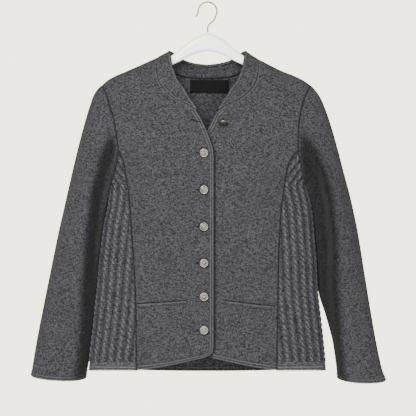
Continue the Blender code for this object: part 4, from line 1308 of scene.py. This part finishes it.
# The joined seams' yarn lies in the middle of the wall, near-black as painted shade along each
# seam
for side in (right, left):
    word = words[side]
    grid = body["front"][side]["points"]
    lines = [grid[:, -1], grid[-1], grid[neckRows, 0]]
    column = 0 if side == right else -1
    lines += [body["back"]["points"][:, column], tubes[side]["points"][0]]
    threads("seam_yarn_" + word, "seam", lines, 0.75 * mm, 1)
count = collarPiece["front"]
threads("seam_yarn_collar", "seam", [collarCloth["points"][:, 0]], 0.8 * mm, 1)
threads("seam_yarn_neck", "seam", [collarCloth["points"][count + 4:-count - 4, 0]], 1.7 * mm, 1)

grid = body["back"]
threads("back_stitches", "thread", topstitch(grid, "foot", stitchGaps), stitchThread)
threads("back_overlock", "felt", overlock(grid, "foot"), edgeYarn, 1)
paths = topstitch(collarCloth, "end", collarGaps) + topstitch(collarCloth, "start", (2.4 * mm,))
threads("collar_stitches", "thread", paths, stitchThread)
threads("collar_overlock", "felt", overlock(collarCloth, "end"), edgeYarn, 1)
# A near-black yarn inside the collar's stitch groove is painted shade there
line, normals, _ = alongRim(collarCloth, "end", collarGaps[0])
threads("collar_groove_shade_yarn", "seam", [line - normals * (collarCloth["wall"] / 2 - 0.2 * mm)],
        0.6 * mm, 1)
paths = []
for rim in ("start", "end"):
    line, normals, _ = alongRim(labelGrid, rim, 1.5 * mm)
    paths += stitches(line, normals, labelSize["thick"] / 2 + 0.3 * mm, 2.2 * mm)
threads("label_stitches", "label", paths, 0.2 * mm)
print("threads made")


# Buttons: a cast dome with a rolled rim, an inner ring and a plain rosette

button = {
    "radius": buttonRadius, "steps": 64, "petals": 8, "petalBand": (0.24, 0.6),
    "petalHeight": 0.05, "faceHeight": 0.4,
    "open": {"across": 30.6 * mm, "drop": 229.5 * mm, "tilt": math.radians(52),
             "stem": 6.4 * mm},
    # Out and up in shares of the radius, and how dark the hollow is
    "profile": [
        (0.0, 0.60, 0.1), (0.12, 0.597, 0.1), (0.2, 0.575, 0.75), (0.26, 0.56, 0.85),
        (0.34, 0.565, 0.55), (0.52, 0.535, 0.45), (0.58, 0.52, 0.8), (0.62, 0.535, 0.2),
        (0.67, 0.535, 0.05), (0.72, 0.505, 0.4), (0.76, 0.455, 0.95), (0.80, 0.435, 0.9),
        (0.84, 0.46, 0.3), (0.89, 0.475, 0.0), (0.95, 0.46, 0.0), (0.99, 0.41, 0.05),
        (1.0, 0.35, 0.1), (0.99, 0.29, 0.2), (0.93, 0.23, 0.4), (0.80, 0.20, 0.5),
        (0.40, 0.175, 0.6), (0.24, 0.16, 0.7), (0.24, 0.0, 0.8), (0.0, 0.0, 0.8),
    ],
}


def buttonPlace(across, drop, side, tilt):
    sideways = frontPoint(across + mm, drop, side) - frontPoint(across - mm, drop, side)
    down = frontPoint(across, drop + mm, side) - frontPoint(across, drop - mm, side)
    normal = unit(np.cross(sideways, down))
    normal = normal * -np.sign(normal[1])
    lift = form["wall"] / 2 + form["seamGap"] + 0.24 * button["radius"] * math.sin(tilt)
    facing = Vector(normal).to_track_quat("Z", "Y").to_matrix().to_4x4()
    spot = Vector(frontPoint(across, drop, side) + normal * lift)
    return Matrix.Translation(spot) @ Matrix.Rotation(tilt, 4, "X") @ facing


def buttonPiece(number, across, drop, side, tilt=0.0, stem=0.0):
    bm = startMesh()
    tone = bm.verts.layers.float["shade"]
    radius = button["radius"]
    verts = []
    for out, height, dark in button["profile"]:
        place = (out * radius, 0, height * radius + (stem if height > 0 else 0))
        verts.append(bm.verts.new(place))
        verts[-1][tone] = dark
    edges = [bm.edges.new(pair) for pair in zip(verts[:-1], verts[1:])]
    bmesh.ops.spin(bm, geom=verts + edges, cent=(0, 0, 0), axis=(0, 0, 1), angle=math.tau,
                   steps=button["steps"], use_merge=True)
    bmesh.ops.remove_doubles(bm, verts=bm.verts, dist=1e-6)
    # Petals between the inner and the outer ring
    for vert in bm.verts:
        out = math.hypot(vert.co.x, vert.co.y) / radius
        first, last = button["petalBand"]
        if first < out < last and vert.co.z > stem + button["faceHeight"] * radius:
            turn = math.atan2(vert.co.y, vert.co.x) * button["petals"] / 2
            petal = abs(math.cos(turn)) ** 0.7
            vert.co.z += (petal - 0.55) * button["petalHeight"] * radius
            vert[tone] = 0.9 - 0.6 * petal
        if stem > 0:
            # Painted shade on all of the hanging button but its upper rim, which faces the light.
            shaded = 0.8 * (1 - ease(0.35, 0.8, vert.co.y / radius))
            vert[tone] = max(vert[tone], shaded)
    bmesh.ops.recalc_face_normals(bm, faces=bm.faces)
    bm.transform(buttonPlace(across, drop, side, tilt))
    name = "button_cast_%d" % number
    piece = addPiece(name, endMesh(name, bm), "pewter")
    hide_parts("button_%d" % number)
    return piece


opened = button["open"]
buttonPiece(1, opened["across"], opened["drop"], left, opened["tilt"], opened["stem"])
for number, drop in enumerate(buttonDrops, start=2):
    buttonPiece(number, form["buttonLine"], drop * mm, right)
print("buttons made")


# Buttonholes: a worked slit whose end shows beside each button, the slit near-black as painted
# shadow

buttonhole = {
    "length": 20 * mm, "start": -22 * mm, "openStart": -33 * mm, "openDrop": 232 * mm,
    "openSlope": 0.35, "stitches": 16, "near": 0.9 * mm, "far": 2.4 * mm, "lean": 0.4 * mm,
    "lift": 0.3 * mm, "swell": 0.35 * mm, "sink": 0.2 * mm,
}


def rightFront(across, drop):
    # Places on the right front's outer face, with normals.
    points = frontPoint(across, drop, right)
    below = frontPoint(across, drop + mm, right)
    beside = frontPoint(across + mm, drop, right)
    normals = unit(np.cross(beside - points, below - points))
    normals = normals * -np.sign(normals[..., 1:2])
    return points + normals * form["wall"] / 2, normals


holes = [(buttonhole["start"], drop * mm, 0.0) for drop in buttonDrops]
holes.append((buttonhole["openStart"], buttonhole["openDrop"], buttonhole["openSlope"]))
worked, slitShadows = [], []
for first, drop, slope in holes:
    reach = np.linspace(0, buttonhole["length"], buttonhole["stitches"] + 1)
    across = first + reach
    line = drop + slope * (reach - reach[-1] / 2)
    place, normal = rightFront(across, line)
    slitShadows.append(place + normal * buttonhole["lift"])
    for sign in (-1, 1):
        near, up = rightFront(across[:-1], line[:-1] + sign * buttonhole["near"])
        far, _ = rightFront(across[:-1] + buttonhole["lean"], line[:-1] + sign * buttonhole["far"])
        middle = (near + far) / 2 + up * buttonhole["swell"]
        worked += list(np.stack([near, middle, far - up * buttonhole["sink"]], axis=1))
threads("buttonhole_edges", "felt", worked, 0.3 * mm)
# Near-black threads in the slits are painted shadow
threads("buttonhole_slit_shadows", "label", slitShadows, 0.9 * mm)
print("buttonholes made")


# The hanger, smoothed from a merged copy of its solid

source = bpy.data.objects["hanger"]
bm = bmesh.new()
bm.from_mesh(source.data)
bmesh.ops.remove_doubles(bm, verts=bm.verts, dist=1e-6)
bmesh.ops.join_triangles(bm, faces=bm.faces, angle_face_threshold=math.radians(30),
                         angle_shape_threshold=math.radians(60))
piece = addPiece("hanger_body", endMesh("hanger_body", bm), "hanger")
smooth = piece.modifiers.new("smooth", "SUBSURF")
smooth.levels = 2
smooth.render_levels = 2
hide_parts("hanger")

# The hook: one wire
hook = {
    "wire": 2.8 * mm, "radius": 18.5 * mm, "pace": 0.5 * mm, "smoothing": 4,
    "stem": [(0.4, 58.4), (0.4, 52), (0.8, 46), (3.6, 42.3), (7, 39), (11.2, 35.6), (14.4, 31)],
    "tip": [(-18.9, 20.6), (-20.6, 24.6), (-23, 27.6)],
}
centre = hook["radius"] - hook["wire"] / 2
route = [(x * mm, 0, -drop * mm) for x, drop in hook["stem"]]
for angle in np.linspace(math.radians(-26), math.pi, 48):
    route.append((hook["radius"] * math.cos(angle), 0,
                  hook["radius"] * math.sin(angle) - centre))
route += [(x * mm, 0, -drop * mm) for x, drop in hook["tip"]]
route = resample(np.array(route), (), hook["pace"])[0]
spread = 2 * hook["smoothing"] + 1
for axis in (0, 2):
    padded = np.pad(route[:, axis], hook["smoothing"], mode="reflect", reflect_type="odd")
    route[:, axis] = np.convolve(padded, np.ones(spread) / spread, mode="valid")
piece = threads("hook_wire", "brass", [route], hook["wire"] / 2, 6)
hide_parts("hanger_hook")
print("hanger and hook made")


# A welt is 7.8 mm high and is stated at the least side that a sheet can have.


# Floor, light and camera

bm = bmesh.new()
bmesh.ops.create_grid(bm, x_segments=1, y_segments=1, size=3.0)
bmesh.ops.translate(bm, verts=bm.verts, vec=(0, -1.2, -1.02))
mesh = bpy.data.meshes.new("floor")
bm.to_mesh(mesh)
bm.free()
floor = bpy.data.objects.new("floor", mesh)
pale = Graph("floor_pale", "").finish(Base_Color=(0.80, 0.785, 0.75, 1), Roughness=0.9)
floor.data.materials.append(pale.material)
bpy.context.scene.collection.objects.link(floor)

world = bpy.data.worlds.new("studio")
world.use_nodes = True
sky = world.node_tree.nodes["Background"]
sky.inputs["Color"].default_value = (0.97, 0.90, 0.72, 1)
# The backdrop that the camera sees is brighter than the light it gives.
seen = world.node_tree.nodes.new("ShaderNodeLightPath")
glow = world.node_tree.nodes.new("ShaderNodeMapRange")
glow.inputs["To Min"].default_value = 0.8
glow.inputs["To Max"].default_value = 4.2
world.node_tree.links.new(seen.outputs["Is Camera Ray"], glow.inputs["Value"])
world.node_tree.links.new(glow.outputs["Result"], sky.inputs["Strength"])
bpy.context.scene.world = world


def areaLight(name, place, target, size, power):
    lamp = bpy.data.lights.new(name, "AREA")
    lamp.shape = "DISK"
    lamp.size = size
    lamp.energy = power
    made = bpy.data.objects.new(name, lamp)
    made.location = place
    made.rotation_euler = (Vector(target) - Vector(place)).to_track_quat("-Z", "Y").to_euler()
    bpy.context.scene.collection.objects.link(made)


areaLight("key", (-0.9, -3.8, 1.2), (0, 0, -0.35), 1.5, 350)
areaLight("low", (0.4, -3.4, -0.86), (0, 0, -0.55), 1.2, 120)

camera = bpy.data.cameras.new("camera")
camera.lens = 530.3
camera.sensor_width = 36
camera.clip_end = 60
viewer = bpy.data.objects.new("camera", camera)
viewer.location = (0.001, -12, -0.402)
viewer.rotation_euler = (math.radians(90), 0, 0)
bpy.context.scene.collection.objects.link(viewer)
bpy.context.scene.camera = viewer

print("scene ready")
